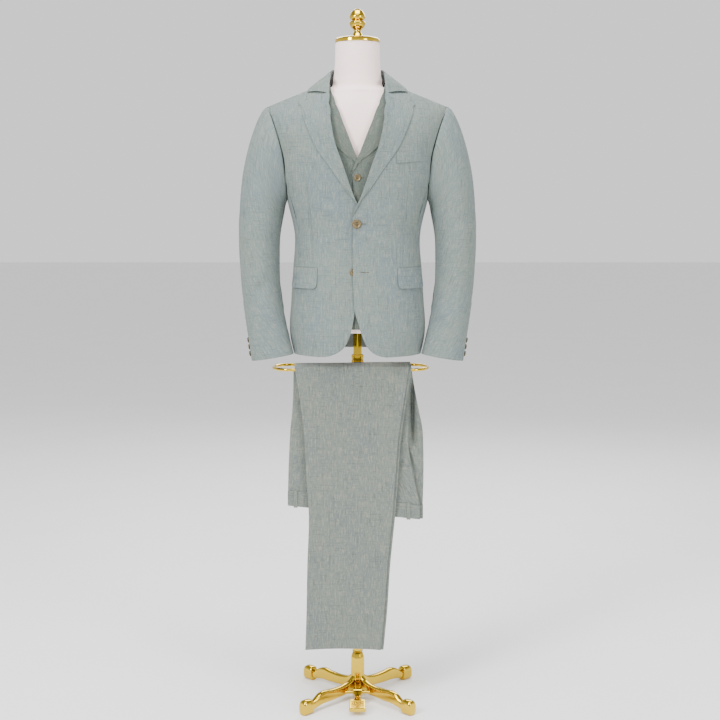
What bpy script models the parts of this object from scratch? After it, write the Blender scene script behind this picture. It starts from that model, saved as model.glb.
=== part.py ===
"""A three-piece suit on a limbless dress form: jacket and waistcoat worn, trousers folded over the stand's bar.

The wearer's left is +X, the front is -Y, and the floor is z = 0. Lengths are metres, angles degrees.
"""

from collections import namedtuple
from math import cos, pi, radians, sin

import bpy
import bmesh
import numpy as np
from mathutils import Matrix

SEAM = 0.00034
JACKET_CLOTH = 0.0020
SLEEVE_CLOTH = 0.0017
WAISTCOAT_CLOTH = 0.0016
LAPEL_LIFT = 0.0004
FLAP_LIFT = 0.0008

# One row for each level of the body: the jacket's half width and its depth in front of and behind the side
# line, then how far inside it the waistcoat and the dress form lie.
Girth = namedtuple("Girth", "z half_width front back waistcoat form")
GIRTHS = [
    Girth(0.925, 0.1640, 0.137, 0.134, 0.0115, 0.018),
    Girth(0.985, 0.1765, 0.136, 0.135, 0.0120, 0.018),
    Girth(1.080, 0.1730, 0.131, 0.131, 0.0120, 0.018),
    Girth(1.155, 0.1680, 0.126, 0.121, 0.0115, 0.018),
    Girth(1.245, 0.1635, 0.123, 0.110, 0.0115, 0.017),
    Girth(1.330, 0.1815, 0.129, 0.117, 0.0120, 0.020),
    Girth(1.400, 0.1980, 0.133, 0.127, 0.0120, 0.022),
    Girth(1.450, 0.2080, 0.133, 0.131, 0.0110, 0.023),
    Girth(1.500, 0.2200, 0.129, 0.131, 0.0100, 0.021),
    Girth(1.550, 0.2310, 0.120, 0.124, 0.0085, 0.018),
    Girth(1.600, 0.2360, 0.110, 0.112, 0.0075, 0.016),
    Girth(1.645, 0.2380, 0.100, 0.100, 0.0070, 0.015),
]
ROUNDNESS = 2.3
TIP_X = 0.229
TIP_Z = 1.575
NECK_X = 0.070
SHOULDER_SLOPE = 0.40
NAPE_SLOPE = 0.90
FRONT_ARCH = 0.120
BACK_ARCH = 0.170
WAISTCOAT_DROP = 0.0045
FORM_DROP = 0.0105

# The armhole is an oval round the side line, and its stations run over the top, down the front, under and up.
ARMHOLE_MID = 1.455
ARMHOLE_HALF_HEIGHT = 0.120
ARMHOLE_HALF_ANGLE = 25.0
ARMHOLE_FULLNESS = 0.75
ARMHOLE_TURNS = (0, 12, 28, 48, 70, 92, 114, 135, 157.5, 180, 202.5, 225, 246, 268, 290, 312, 332, 348, 360)
FRONT_SEAM_STATION = 7
BACK_SEAM_STATION = 11
FRONT_SEAM_ANGLE = 66.0
BACK_SEAM_ANGLE = 115.0

# One row for each line of points across a jacket front, hem to shoulder. The front edges are given for each
# side; above the break they run up the roll line, and lapel_x, lapel_z follow the lapel's outer edge.
FrontRow = namedtuple("FrontRow", "left_x left_z right_x right_z lapel_x lapel_z side_z")
FRONT_ROWS = [
    FrontRow(0.0737, 0.9365, -0.1000, 0.9367, 0.120, 0.9370, 0.937),
    FrontRow(0.0480, 0.9430, -0.0700, 0.9400, 0.105, 0.9440, 0.950),
    FrontRow(0.0260, 0.9620, -0.0400, 0.9560, 0.090, 0.9620, 0.968),
    FrontRow(0.0115, 0.9930, -0.0215, 0.9850, 0.078, 0.9930, 0.993),
    FrontRow(0.0015, 1.0270, -0.0110, 1.0270, 0.070, 1.0270, 1.025),
    FrontRow(-0.0076, 1.0630, -0.0050, 1.0630, 0.064, 1.0630, 1.063),
    FrontRow(-0.0108, 1.1340, 0.0070, 1.1340, 0.055, 1.1300, 1.125),
    FrontRow(-0.0113, 1.2050, 0.0110, 1.2050, 0.040, 1.2000, 1.190),
    FrontRow(-0.0115, 1.2620, 0.0115, 1.2620, 0.020, 1.2600, 1.250),
    FrontRow(-0.0116, 1.2940, 0.0100, 1.3000, 0.0070, 1.3240, 1.312),
    FrontRow(0.0156, 1.3576, -0.0156, 1.3576, 0.0310, 1.3600, None),
    FrontRow(0.0365, 1.4190, -0.0365, 1.4190, 0.0680, 1.4150, None),
    FrontRow(0.0550, 1.4710, -0.0550, 1.4710, 0.1025, 1.4640, None),
    FrontRow(0.0665, 1.5250, -0.0665, 1.5250, 0.1260, 1.5150, None),
    FrontRow(0.0700, 1.5680, -0.0700, 1.5680, 0.1390, 1.5510, None),
    FrontRow(0.0705, 1.6000, -0.0705, 1.6000, 0.1458, 1.5735, None),
    FrontRow(0.0703, 1.6265, -0.0703, 1.6265, 0.1455, 1.5985, None),
    FrontRow(0.0700, 1.6386, -0.0700, 1.6386, 0.1450, None, None),
]
LAPEL_COLUMNS = 3
FRONT_COLUMNS = 6
BREAK_ROW = 9
GORGE_ROW = 15
OVERLAP_START = 0.050
OVERLAP_EDGE = 0.021
OVERLAP_RUNOUT = 0.030
OVERLAP_DEPTH = 0.0052
OVERLAP_END = 1.390
BACK_COLUMNS = 7
BACK_LIFT = 1.2
NAPE_Z = 1.632
VENT_TOP = 1.150
VENT_OPENING = 0.004

# One row for each level of a sleeve below the armhole: its inner and outer edge in front view, how far
# forward its middle lies, its half depth, the angle round the arm of the hind seam, and how much its outer
# side is lower than its middle.
SleeveRow = namedtuple("SleeveRow", "z inner outer middle_y half_depth hind_angle tilt")
SLEEVE_ROWS = [
    SleeveRow(1.310, 0.1890, 0.3055, 0.000, 0.072, -112, 0.000),
    SleeveRow(1.246, 0.2005, 0.3090, -0.003, 0.067, -108, 0.000),
    SleeveRow(1.190, 0.2030, 0.3075, -0.006, 0.063, -102, 0.000),
    SleeveRow(1.139, 0.2025, 0.3045, -0.010, 0.059, -94, 0.000),
    SleeveRow(1.085, 0.1970, 0.2990, -0.018, 0.054, -82, 0.000),
    SleeveRow(1.033, 0.1890, 0.2920, -0.027, 0.049, -66, 0.002),
    SleeveRow(0.980, 0.1775, 0.2830, -0.041, 0.042, -44, 0.005),
    SleeveRow(0.930, 0.1655, 0.2745, -0.054, 0.036, -25, 0.009),
]
CAP_STEPS = 4
SLEEVE_FRONT_STATION = 8
SLEEVE_HIND_STATION = 12

# One row for each line across a waistcoat front, hem to shoulder.
WaistcoatRow = namedtuple("WaistcoatRow", "edge_x edge_z lapel_x lapel_z side_z side_angle")
WAISTCOAT_ROWS = [
    WaistcoatRow(-0.0060, 1.008, 0.050, 1.004, 1.008, 90),
    WaistcoatRow(-0.0100, 1.055, 0.045, 1.055, 1.055, 90),
    WaistcoatRow(-0.0100, 1.102, 0.042, 1.102, 1.100, 90),
    WaistcoatRow(-0.0100, 1.174, 0.038, 1.174, 1.160, 90),
    WaistcoatRow(-0.0100, 1.246, 0.034, 1.246, 1.220, 90),
    WaistcoatRow(-0.0100, 1.318, 0.030, 1.318, 1.275, 90),
    WaistcoatRow(-0.0110, 1.365, 0.024, 1.372, 1.320, 90),
    WaistcoatRow(-0.0120, 1.4045, 0.0080, 1.4262, 1.335, 78),
    WaistcoatRow(0.0010, 1.4375, 0.0270, 1.4450, 1.375, 64),
    WaistcoatRow(0.0170, 1.4760, 0.0560, 1.4720, 1.425, 56),
    WaistcoatRow(0.0370, 1.5260, 0.0830, 1.5150, 1.480, 52),
    WaistcoatRow(0.0560, 1.5750, 0.0990, 1.5600, 1.535, 52),
    WaistcoatRow(0.0660, 1.6020, 0.1050, 1.5850, 1.568, 58),
    WaistcoatRow(0.0720, 1.6210, 0.1070, 1.6050, 1.588, 68),
    WaistcoatRow(0.0740, None, 0.1080, None, None, 90),
]
WAISTCOAT_BREAK_ROW = 7
WAISTCOAT_LAPEL_COLUMNS = 2
WAISTCOAT_FRONT_COLUMNS = 5
WAISTCOAT_SHOULDER_X = 0.150
WAISTCOAT_BACK_COLUMNS = 10
WAISTCOAT_NAPE_Z = 1.626
WAISTCOAT_OVERLAP = 0.0030
WAISTCOAT_OVERLAP_END = 1.470

# The collar's stations from the nape to the gorge. Seam, inner and outer side of the roll and the fall's edge
# are each a point, here as its x and y, with the heights in the rows below.
CollarRow = namedtuple("CollarRow", "seam roll_in roll_out edge")
COLLAR_ROWS = [
    CollarRow((0.0000, 0.0810), (0.0000, 0.0740), (0.0000, 0.0795), (0.0000, 0.1018)),
    CollarRow((0.0260, 0.0750), (0.0250, 0.0690), (0.0270, 0.0745), (0.0367, 0.0883)),
    CollarRow((0.0500, 0.0600), (0.0480, 0.0550), (0.0525, 0.0590), (0.0745, 0.0648)),
    CollarRow((0.0660, 0.0300), (0.0640, 0.0280), (0.0690, 0.0300), (0.1034, 0.0355)),
    CollarRow((0.0700, 0.0000), (0.0680, 0.0000), (0.0730, 0.0000), (0.1193, 0.0027)),
    CollarRow((0.0705, -0.0330), (0.0690, -0.0350), (0.0735, -0.0365), (0.1241, -0.0180)),
    CollarRow((0.0712, -0.0580), (0.0705, -0.0620), (0.0745, -0.0640), (0.1266, -0.0311)),
    CollarRow((0.0718, -0.0765), (0.0715, -0.0810), (0.0750, -0.0825), (0.1282, -0.0412)),
]
COLLAR_HEIGHTS = [
    CollarRow(1.6330, 1.6680, 1.6690, 1.6110),
    CollarRow(1.6335, 1.6680, 1.6690, 1.6100),
    CollarRow(1.6350, 1.6680, 1.6690, 1.6132),
    CollarRow(1.6390, 1.6660, 1.6670, 1.6201),
    CollarRow(1.6400, 1.6580, 1.6590, 1.6231),
    CollarRow(1.6360, 1.6460, 1.6465, 1.6198),
    CollarRow(1.6230, 1.6300, 1.6300, 1.6148),
    CollarRow(1.6030, 1.6045, 1.6035, 1.6095),
]
COLLAR_CLOTH = 0.0016

FLAP_TOP = 1.163
FLAP_BOTTOM = 1.110
FLAP_ANGLES = (34.0, 76.0)
FLAP_COLUMNS = 8
WELT_X = (0.098, 0.163)
WELT_Z = (1.4390, 1.4460)
WELT_HEIGHT = 0.027
WELT_COLUMNS = 5

Button = namedtuple("Button", "name x z radius thickness layer")
FRONT_BUTTONS = [
    Button("jacket_button_upper", -0.0018, 1.2743, 0.0120, 0.0034, "jacket_left"),
    Button("jacket_button_lower", -0.0088, 1.1527, 0.0103, 0.0023, "jacket_right"),
    Button("waistcoat_button_1", 0.0000, 1.3900, 0.0088, 0.0026, "waistcoat"),
    Button("waistcoat_button_2", 0.0000, 1.3180, 0.0088, 0.0026, "waistcoat"),
    Button("waistcoat_button_3", 0.0000, 1.2460, 0.0088, 0.0026, "waistcoat"),
    Button("waistcoat_button_4", 0.0000, 1.1740, 0.0088, 0.0026, "waistcoat"),
    Button("waistcoat_button_5", 0.0000, 1.1020, 0.0088, 0.0026, "waistcoat"),
]
BUTTON_SIDES = 16
BUTTON_LIFT = 0.0005
CUFF_BUTTON_RADIUS = 0.0075
CUFF_BUTTON_THICKNESS = 0.0030
CUFF_BUTTON_Z = (0.946, 0.962, 0.978)
CUFF_BUTTON_ANGLE = -8.0

# The trousers' edges in front view at each level, for the length in front of the bar and the one behind.
LegRow = namedtuple("LegRow", "z left right")
FRONT_LENGTH = [
    LegRow(0.1520, -0.1382, 0.0617),
    LegRow(0.2580, -0.1346, 0.0715),
    LegRow(0.3815, -0.1320, 0.0793),
    LegRow(0.5100, -0.1275, 0.0915),
    LegRow(0.6160, -0.1335, 0.0995),
    LegRow(0.7170, -0.1385, 0.1065),
    LegRow(0.8090, -0.1480, 0.1195),
    LegRow(0.8970, -0.1615, 0.1325),
]
NEAR_LENGTH = [
    LegRow(0.8970, -0.1640, 0.1410),
    LegRow(0.8420, -0.1660, 0.1500),
    LegRow(0.7890, -0.1690, 0.1610),
    LegRow(0.7490, -0.1735, 0.1700),
    LegRow(0.6960, -0.1770, 0.1730),
    LegRow(0.6300, -0.1800, 0.1735),
    LegRow(0.5780, -0.1815, 0.1720),
]
FAR_LENGTH = [
    LegRow(0.8970, -0.1655, 0.1310),
    LegRow(0.8420, -0.1675, 0.1315),
    LegRow(0.7890, -0.1700, 0.1325),
    LegRow(0.7490, -0.1745, 0.1335),
    LegRow(0.6960, -0.1780, 0.1350),
    LegRow(0.6300, -0.1810, 0.1500),
    LegRow(0.5780, -0.1825, 0.1640),
]
OUTSEAM_X = -0.0285
FAR_SHIFT = 0.0070
LEG_THICKNESS = 0.0046
HIP_THICKNESS = 0.0100
BAND_THICKNESS = 0.0110
BAND_HEIGHT = 0.040
BAND_DROP = 0.107
HEM_GROOVE = 0.006
FOLD_STEPS = 6
LOOP_FROM_FRONT = 0.020
LOOP_FROM_SEAT = 0.030
LOOP_ABOVE_SEAM = 0.003
LAYER_GAP = 0.0004
NEAR_LEAN = 0.0075
# How full a pressed leg is at shares of its width from the crease, and the waistband from edge to edge.
PRESSED_SHARES = (0.0, 0.012, 0.045, 0.28, 0.52, 0.76, 1.0)
PRESSED_THICKNESS = (0.30, 0.78, 1.0, 1.0, 1.0, 1.0, 1.0)
BAND_SHARES = (0.0, 0.01, 0.04, 0.25, 0.5, 0.75, 0.96, 0.99, 1.0)
BAND_FULLNESS = (0.4, 0.8, 1.0, 1.0, 1.0, 1.0, 1.0, 0.8, 0.4)
LOOP_WIDTH = 0.010
LOOP_HEIGHT = 0.046
LOOP_THICKNESS = 0.0016

POLE_SIDES = 20
UPPER_POLE_RADIUS = 0.0110
LOWER_POLE_RADIUS = 0.0125
LOWER_POLE_BORE = 0.01108
UPPER_POLE_BOTTOM = 0.160
COLLAR_BOTTOM = 0.9056
COLLAR_TOP = 0.9310
COLLAR_RADIUS = 0.0160
FORM_BOTTOM = 0.997
FORM_SIDES = 28
FORM_LEVELS = (
    *(FORM_BOTTOM, 1.06, 1.13, 1.20, 1.26, 1.33, 1.40, 1.45),
    *(1.50, 1.535, 1.558, 1.576, 1.592, 1.604, 1.6130),
)
FORM_NECK_TOP = 1.735
NeckRow = namedtuple("NeckRow", "z half_width front back")
NECK_ROWS = [
    NeckRow(1.6225, 0.0685, 0.0620, 0.0520),
    NeckRow(1.640, 0.0635, 0.0590, 0.0550),
    NeckRow(1.655, 0.0605, 0.0575, 0.0575),
    NeckRow(1.690, 0.0578, 0.0565, 0.0565),
    NeckRow(FORM_NECK_TOP, 0.0565, 0.0555, 0.0555),
]
BAR_HALF_WIDTH = 0.2035
BAR_HALF_DEPTH = 0.060
BAR_X = -0.018
BAR_END = 0.045
BAR_Z = 0.897
BAR_RADIUS = 0.0040
BRACKET_RADIUS = 0.0035
COLUMN_RADIUS = 0.0190
COLUMN_TOP = 0.1260
COLUMN_SIDES = 8

LegStation = namedtuple("LegStation", "reach top bottom half_width")
LEG_STATIONS = [
    LegStation(0.01790, 0.0600, 0.0200, 0.0070),
    LegStation(0.03500, 0.0490, 0.0180, 0.0085),
    LegStation(0.06500, 0.0440, 0.0160, 0.0085),
    LegStation(0.10000, 0.0445, 0.0140, 0.0085),
    LegStation(0.12500, 0.0470, 0.0100, 0.0085),
    LegStation(0.14500, 0.0430, 0.0040, 0.0085),
    LegStation(0.16200, 0.0310, 0.0020, 0.0085),
    LegStation(0.17200, 0.0260, 0.0020, 0.0085),
    LegStation(0.17260, 0.0340, 0.0000, 0.0130),
    LegStation(0.17800, 0.0380, 0.0000, 0.0130),
    LegStation(0.19600, 0.0380, 0.0000, 0.0130),
    LegStation(0.20400, 0.0320, 0.0000, 0.0110),
]
AXLE_Y = -0.050
AXLE_Z = 0.028
AXLE_RADIUS = 0.0040
AXLE_PLAY = 0.0002
AXLE_HALF_LENGTH = 0.0336
PedalStation = namedtuple("PedalStation", "y top bottom half_width")
PEDAL_STATIONS = [
    PedalStation(-0.0360, 0.0360, 0.0200, 0.0100),
    PedalStation(-0.0420, 0.0440, 0.0150, 0.0130),
    PedalStation(-0.0580, 0.0440, 0.0150, 0.0130),
    PedalStation(-0.0660, 0.0370, 0.0170, 0.0120),
    PedalStation(-0.0850, 0.0280, 0.0170, 0.0075),
    PedalStation(-0.0980, 0.0285, 0.0180, 0.0090),
    PedalStation(-0.1050, 0.0285, 0.0180, 0.0200),
    PedalStation(-0.1500, 0.0210, 0.0120, 0.0215),
]


def new_collection(name):
    collection = bpy.data.collections.new(name)
    bpy.context.scene.collection.children.link(collection)
    return collection


def material(name, color, roughness, metallic=0.0):
    made = bpy.data.materials.new(name)
    made.use_nodes = True
    shader = made.node_tree.nodes["Principled BSDF"]
    shader.inputs["Base Color"].default_value = (*color, 1.0)
    shader.inputs["Roughness"].default_value = roughness
    shader.inputs["Metallic"].default_value = metallic
    return made


def add_object(name, mesh, finish, collection):
    mesh.materials.append(finish)
    made = bpy.data.objects.new(name, mesh)
    collection.objects.link(made)
    return made


def mesh_object(name, points, faces, finish, collection):
    """A closed mesh whose faces are turned outwards."""
    mesh = bpy.data.meshes.new(name)
    mesh.from_pydata([tuple(point) for point in points], [], faces)
    shape = bmesh.new()
    shape.from_mesh(mesh)
    bmesh.ops.remove_doubles(shape, verts=shape.verts, dist=0.00001)
    bmesh.ops.recalc_face_normals(shape, faces=shape.faces)
    shape.to_mesh(mesh)
    shape.free()
    return add_object(name, mesh, finish, collection)


def smooth(places, values, place):
    """A curve through the values, with no corner at the places between the ends."""
    places = np.asarray(places, float)
    values = np.asarray(values, float)
    slopes = np.gradient(values, places)
    place = np.clip(place, places[0], places[-1])
    index = np.clip(np.searchsorted(places, place) - 1, 0, len(places) - 2)
    span = places[index + 1] - places[index]
    t = (place - places[index]) / span
    return (
        (2 * t**3 - 3 * t**2 + 1) * values[index]
        + (t**3 - 2 * t**2 + t) * span * slopes[index]
        + (3 * t**2 - 2 * t**3) * values[index + 1]
        + (t**3 - t**2) * span * slopes[index + 1]
    )


def column(rows, field):
    return [getattr(row, field) for row in rows]


class Torso:
    """One layer of the body's surface. Its points are given by an angle round it, 0 in front, and a height."""

    def __init__(self, layer=None, drop=0.0):
        inset = np.array(column(GIRTHS, layer)) if layer else 0.0
        self.levels = column(GIRTHS, "z")
        self.widths = np.array(column(GIRTHS, "half_width")) - inset
        self.fronts = np.array(column(GIRTHS, "front")) - inset
        self.backs = np.array(column(GIRTHS, "back")) - inset
        self.drop = drop

    def ridge_z(self, x):
        """Height of the shoulder line, or of its run up the neck, at this distance from the middle."""
        shoulder = TIP_Z + (TIP_X - x) * SHOULDER_SLOPE
        neck = (NECK_X - x) * (NAPE_SLOPE - SHOULDER_SLOPE)
        return shoulder + max(neck, 0.0) - self.drop

    def ridge_x(self, z):
        return TIP_X - (z + self.drop - TIP_Z) / SHOULDER_SLOPE

    def half_width(self, z):
        return min(float(smooth(self.levels, self.widths, z)), self.ridge_x(z))

    def across(self, x, z, behind=False):
        """The point of the front, or of the back, at this x and height."""
        girth = float(smooth(self.levels, self.widths, z))
        depths = self.backs if behind else self.fronts
        depth = float(smooth(self.levels, depths, z))
        share = max(1.0 - (abs(x) / girth) ** ROUNDNESS, 0.0) ** (1.0 / ROUNDNESS)
        rise = (self.ridge_z(abs(x)) - z) / (BACK_ARCH if behind else FRONT_ARCH)
        arch = (1.0 - (1.0 - min(max(rise, 0.0), 1.0)) ** 2) ** 0.5
        y = depth * share * arch
        return np.array((x, y if behind else -y, z))

    def around(self, angle, z):
        """The point at this angle, in degrees, from the front towards +X."""
        turn = radians(angle)
        x = self.half_width(z) * np.sign(sin(turn)) * abs(sin(turn)) ** (2.0 / ROUNDNESS)
        return self.across(x, z, behind=cos(turn) < 0.0)

    def angle_at(self, x, z):
        """The angle of the front's point at this x."""
        share = min(abs(x) / self.half_width(z), 1.0) ** (ROUNDNESS / 2.0)
        return float(np.sign(x) * np.degrees(np.arcsin(share)))

    def normal(self, angle, z):
        turn, lift = 0.7, 0.0015
        round_it = self.around(angle + turn, z) - self.around(angle - turn, z)
        if self.ridge_x(z + lift) < 0.001:
            lift = -lift
        up = self.around(angle, z + lift) - self.around(angle, z - lift)
        found = np.cross(round_it, up) * np.sign(lift)
        return found / np.linalg.norm(found)


JACKET = Torso()
WAISTCOAT = Torso("waistcoat", WAISTCOAT_DROP)
FORM = Torso("form", FORM_DROP)


def between(start, end, steps):
    """Places from start to end, as (angle, height) pairs."""
    return [tuple(np.add(start, np.multiply(np.subtract(end, start), i / steps))) for i in range(steps + 1)]


def lifted(start, end, steps, lift):
    """The same, but bowed upwards by the lift."""
    rise = end[1] - start[1]
    places = between(start, end, steps)
    shares = [i / steps for i in range(steps + 1)]
    return [(angle, z + rise * lift * u * (1 - u)) for (angle, z), u in zip(places, shares)]


def surface(layer, places, inward=0.0, mirrored=False):
    """Points and outward normals of a grid of (angle, height) places."""
    points = np.array([[layer.around(*place) for place in row] for row in places])
    normals = np.array([[layer.normal(*place) for place in row] for row in places])
    points -= normals * inward
    if mirrored:
        points[..., 0] *= -1
        normals[..., 0] *= -1
    return points, normals


def pulled_in(points, sides):
    """The grid with the named sides half a seam nearer to its middle."""
    moved = points.copy()
    edges = {
        "bottom": (np.s_[0, :], np.s_[1, :]),
        "top": (np.s_[-1, :], np.s_[-2, :]),
        "first": (np.s_[:, 0], np.s_[:, 1]),
        "last": (np.s_[:, -1], np.s_[:, -2]),
    }
    for side in sides:
        edge, inner = edges[side]
        step = points[inner] - points[edge]
        length = np.maximum(np.linalg.norm(step, axis=-1, keepdims=True), 1e-6)
        moved[edge] += step / length * SEAM / 2
    return moved


def two_sided(name, outer, inner, finish, collection, groove=0.0):
    """A closed solid between two grids of points. A groove opens its first row like the edges of two layers."""
    rows, columns = outer.shape[:2]
    points = [*outer.reshape(-1, 3), *inner.reshape(-1, 3)]
    under = rows * columns
    faces = []

    def corner(i, j, side=0):
        return side * under + i * columns + j

    for i in range(rows - 1):
        for j in range(columns - 1):
            for side in (0, 1):
                a, b = corner(i, j, side), corner(i, j + 1, side)
                c, d = corner(i + 1, j + 1, side), corner(i + 1, j, side)
                faces += [(a, b, c), (a, c, d)] if side == 0 else [(a, c, b), (a, d, c)]
    border = [(0, j) for j in range(columns)]
    border += [(i, columns - 1) for i in range(1, rows)]
    border += [(rows - 1, j) for j in range(columns - 2, -1, -1)]
    border += [(i, 0) for i in range(rows - 2, 0, -1)]
    split = {}
    if groove:
        middle = (outer + inner) / 2
        for j in range(1, columns - 1):
            run = middle[1, j] - middle[0, j]
            points.append(middle[0, j] + run / np.linalg.norm(run) * groove)
            split[(0, j)] = len(points) - 1
    for first, second in zip(border, border[1:] + border[:1]):
        a, b = corner(*first), corner(*second)
        c, d = corner(*second, 1), corner(*first, 1)
        m, n = split.get(first), split.get(second)
        if m is None and n is None:
            faces += [(b, a, d), (b, d, c)]
        elif m is None:
            faces += [(b, a, n), (a, d, n), (n, d, c)]
        elif n is None:
            faces += [(b, a, m), (b, m, c), (m, d, c)]
        else:
            faces += [(b, a, m), (b, m, n), (n, m, d), (n, d, c)]
    return mesh_object(name, points, faces, finish, collection)


def wall(name, points, normals, thickness, finish, collection):
    """Cloth whose outer face is the grid."""
    return two_sided(name, points, points - normals * thickness, finish, collection)


def armhole_place(station):
    """Angle and height of a station of the armhole, counted from the shoulder down the front."""
    turn = radians(ARMHOLE_TURNS[station])
    sway = np.sign(sin(turn)) * abs(sin(turn)) ** ARMHOLE_FULLNESS
    return 90.0 - ARMHOLE_HALF_ANGLE * sway, ARMHOLE_MID + ARMHOLE_HALF_HEIGHT * cos(turn)


def side_places(angle):
    """The seam between hem and armhole."""
    return [(angle, row.side_z) for row in FRONT_ROWS if row.side_z]


def front_places(left):
    """Rows of (angle, height) across one front, from its free edge to the side seam and armhole."""
    seam = side_places(FRONT_SEAM_ANGLE) + [armhole_place(i) for i in range(FRONT_SEAM_STATION, -1, -1)]
    places = []
    for row, end in zip(FRONT_ROWS, seam):
        x, z = (row.left_x, row.left_z) if left else (-row.right_x, row.right_z)
        edge_z = row.lapel_z or JACKET.ridge_z(row.lapel_x)
        start = (JACKET.angle_at(x, z), z)
        middle = (JACKET.angle_at(row.lapel_x, edge_z), edge_z)
        places.append(between(start, middle, LAPEL_COLUMNS)[:-1] + between(middle, end, FRONT_COLUMNS))
    return places


def underlap(points, top, depth):
    """How far the right front goes in where the left one covers it."""
    ramp = np.clip((points[..., 0] + OVERLAP_START) / (OVERLAP_START - OVERLAP_EDGE), 0.0, 1.0)
    height = np.clip((top - points[..., 2]) / OVERLAP_RUNOUT, 0.0, 1.0)
    return (ramp * height * depth)[..., None]


def front_grid(left):
    """A jacket front's points and normals. Where the fronts overlap, the right one lies under."""
    points, normals = surface(JACKET, front_places(left), mirrored=not left)
    if not left:
        points -= normals * underlap(points, OVERLAP_END, OVERLAP_DEPTH)
    return points, normals


def make_jacket_body(cloth, collection):
    for side, left in (("left", True), ("right", False)):
        points, normals = front_grid(left)
        body = pulled_in(points, ("last", "top"))
        wall(f"jacket_front_{side}", body, normals, JACKET_CLOTH, cloth, collection)
        first = BREAK_ROW if left else BREAK_ROW + 1
        lapel = np.s_[first : GORGE_ROW + 1, : LAPEL_COLUMNS + 1]
        lift = LAPEL_LIFT + SLEEVE_CLOTH
        raised = points[lapel] + normals[lapel] * lift
        wall(f"jacket_lapel_{side}", raised, normals[lapel], SLEEVE_CLOTH, cloth, collection)
        make_side_panel(side, left, cloth, collection)
        make_back(side, left, cloth, collection)


def make_side_panel(side, left, cloth, collection):
    seam_front = side_places(FRONT_SEAM_ANGLE)
    seam_back = side_places(BACK_SEAM_ANGLE)
    steps = BACK_SEAM_STATION - FRONT_SEAM_STATION
    places = [between(a, b, steps) for a, b in zip(seam_front, seam_back)]
    places[-1] = [armhole_place(i) for i in range(FRONT_SEAM_STATION, BACK_SEAM_STATION + 1)]
    points, normals = surface(JACKET, places, mirrored=not left)
    points = pulled_in(points, ("first", "last", "top"))
    wall(f"jacket_side_{side}", points, normals, JACKET_CLOTH, cloth, collection)


def make_back(side, left, cloth, collection):
    seam = side_places(BACK_SEAM_ANGLE)
    seam += [armhole_place(i) for i in range(BACK_SEAM_STATION, len(ARMHOLE_TURNS))]
    places = []
    hem = FRONT_ROWS[0].side_z
    ridge_end = (90.0, JACKET.ridge_z(NECK_X))
    for i, (angle, z) in enumerate(seam[:-1]):
        share = i / (len(seam) - 2)
        middle_z = hem + (NAPE_Z - hem) * share
        places.append(lifted((angle, z), (180.0, middle_z), BACK_COLUMNS, BACK_LIFT * share**2))
    shoulder = BACK_COLUMNS // 2
    neck = between(ridge_end, (180.0, NAPE_Z), BACK_COLUMNS - shoulder)
    places.append(between(seam[-1], ridge_end, shoulder) + neck[1:])
    points, normals = surface(JACKET, places, mirrored=not left)
    points = pulled_in(points, ("first", "last", "top"))
    sign = 1.0 if left else -1.0
    for i in range(len(points)):
        drop = np.clip((VENT_TOP - points[i, -1, 2]) / (VENT_TOP - hem), 0.0, 1.0)
        points[i, -1, 0] += sign * VENT_OPENING / 2 * drop
    wall(f"jacket_back_{side}", points, normals, JACKET_CLOTH, cloth, collection)


def sleeve_ring(row, turns):
    """Points round the arm at these angles: 0 outward, 90 in front."""
    middle = (row.inner + row.outer) / 2
    half = (row.outer - row.inner) / 2
    return np.array(
        [
            (
                middle + half * cos(radians(turn)),
                row.middle_y - row.half_depth * sin(radians(turn)),
                row.z - row.tilt * cos(radians(turn)),
            )
            for turn in turns
        ]
    )


def sleeve_cap(station, ring_point):
    """Points from the armhole down to the first full ring, on one curve."""
    angle, z = armhole_place(station)
    start = JACKET.around(angle, z)
    turn = radians(ARMHOLE_TURNS[station])
    top = (1 + cos(turn)) / 2
    out = np.array((0.6 + 0.4 * top, -0.5 * sin(turn), -0.1 - 0.7 * (1 - top) ** 2))
    out /= np.linalg.norm(out)
    first = start + out * (0.005 + 0.017 * top)
    second = ring_point + np.array((0.0, 0.0, 0.006 + 0.124 * top))
    points = []
    for i in range(CAP_STEPS):
        t = i / CAP_STEPS
        near = (1 - t) ** 3 * start + 3 * t * (1 - t) ** 2 * first
        far = 3 * t**2 * (1 - t) * second + t**3 * ring_point
        points.append(near + far)
    points[0] = start + out * SEAM * (1.6 + 1.6 * top**4)
    return points


def sleeve_grid(first, last):
    """Rows down one piece of a sleeve, between two stations of the armhole."""
    count = len(ARMHOLE_TURNS) - 1
    stations = [station % count for station in range(first, last + 1)]
    front_turn = ARMHOLE_TURNS[SLEEVE_FRONT_STATION]
    rows = []
    for row in SLEEVE_ROWS:
        if first == SLEEVE_FRONT_STATION:
            turns = np.linspace(front_turn, row.hind_angle + 360.0, len(stations))
        else:
            turns = np.linspace(row.hind_angle, front_turn, len(stations))
        rows.append(sleeve_ring(row, turns))
    cap = [sleeve_cap(station, rows[0][i]) for i, station in enumerate(stations)]
    points = np.array([[line[k] for line in cap] for k in range(CAP_STEPS)] + rows)
    return points


def grid_normals(points):
    """Unit normals of a grid whose rows run down and whose columns run forward."""
    down = np.gradient(points, axis=0)
    along = np.gradient(points, axis=1)
    found = np.cross(along, down)
    return found / np.linalg.norm(found, axis=-1, keepdims=True)


def whole_sleeve_normals(pieces):
    """Normals of the two pieces of a sleeve, which agree along the seams that they share."""
    top, under = pieces
    found = [grid_normals(piece) for piece in pieces]
    for mine, other in ((0, -1), (-1, 0)):
        shared = found[0][:, mine] + found[1][:, other]
        shared /= np.linalg.norm(shared, axis=-1, keepdims=True)
        found[0][:, mine] = shared
        found[1][:, other] = shared
    return found


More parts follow.
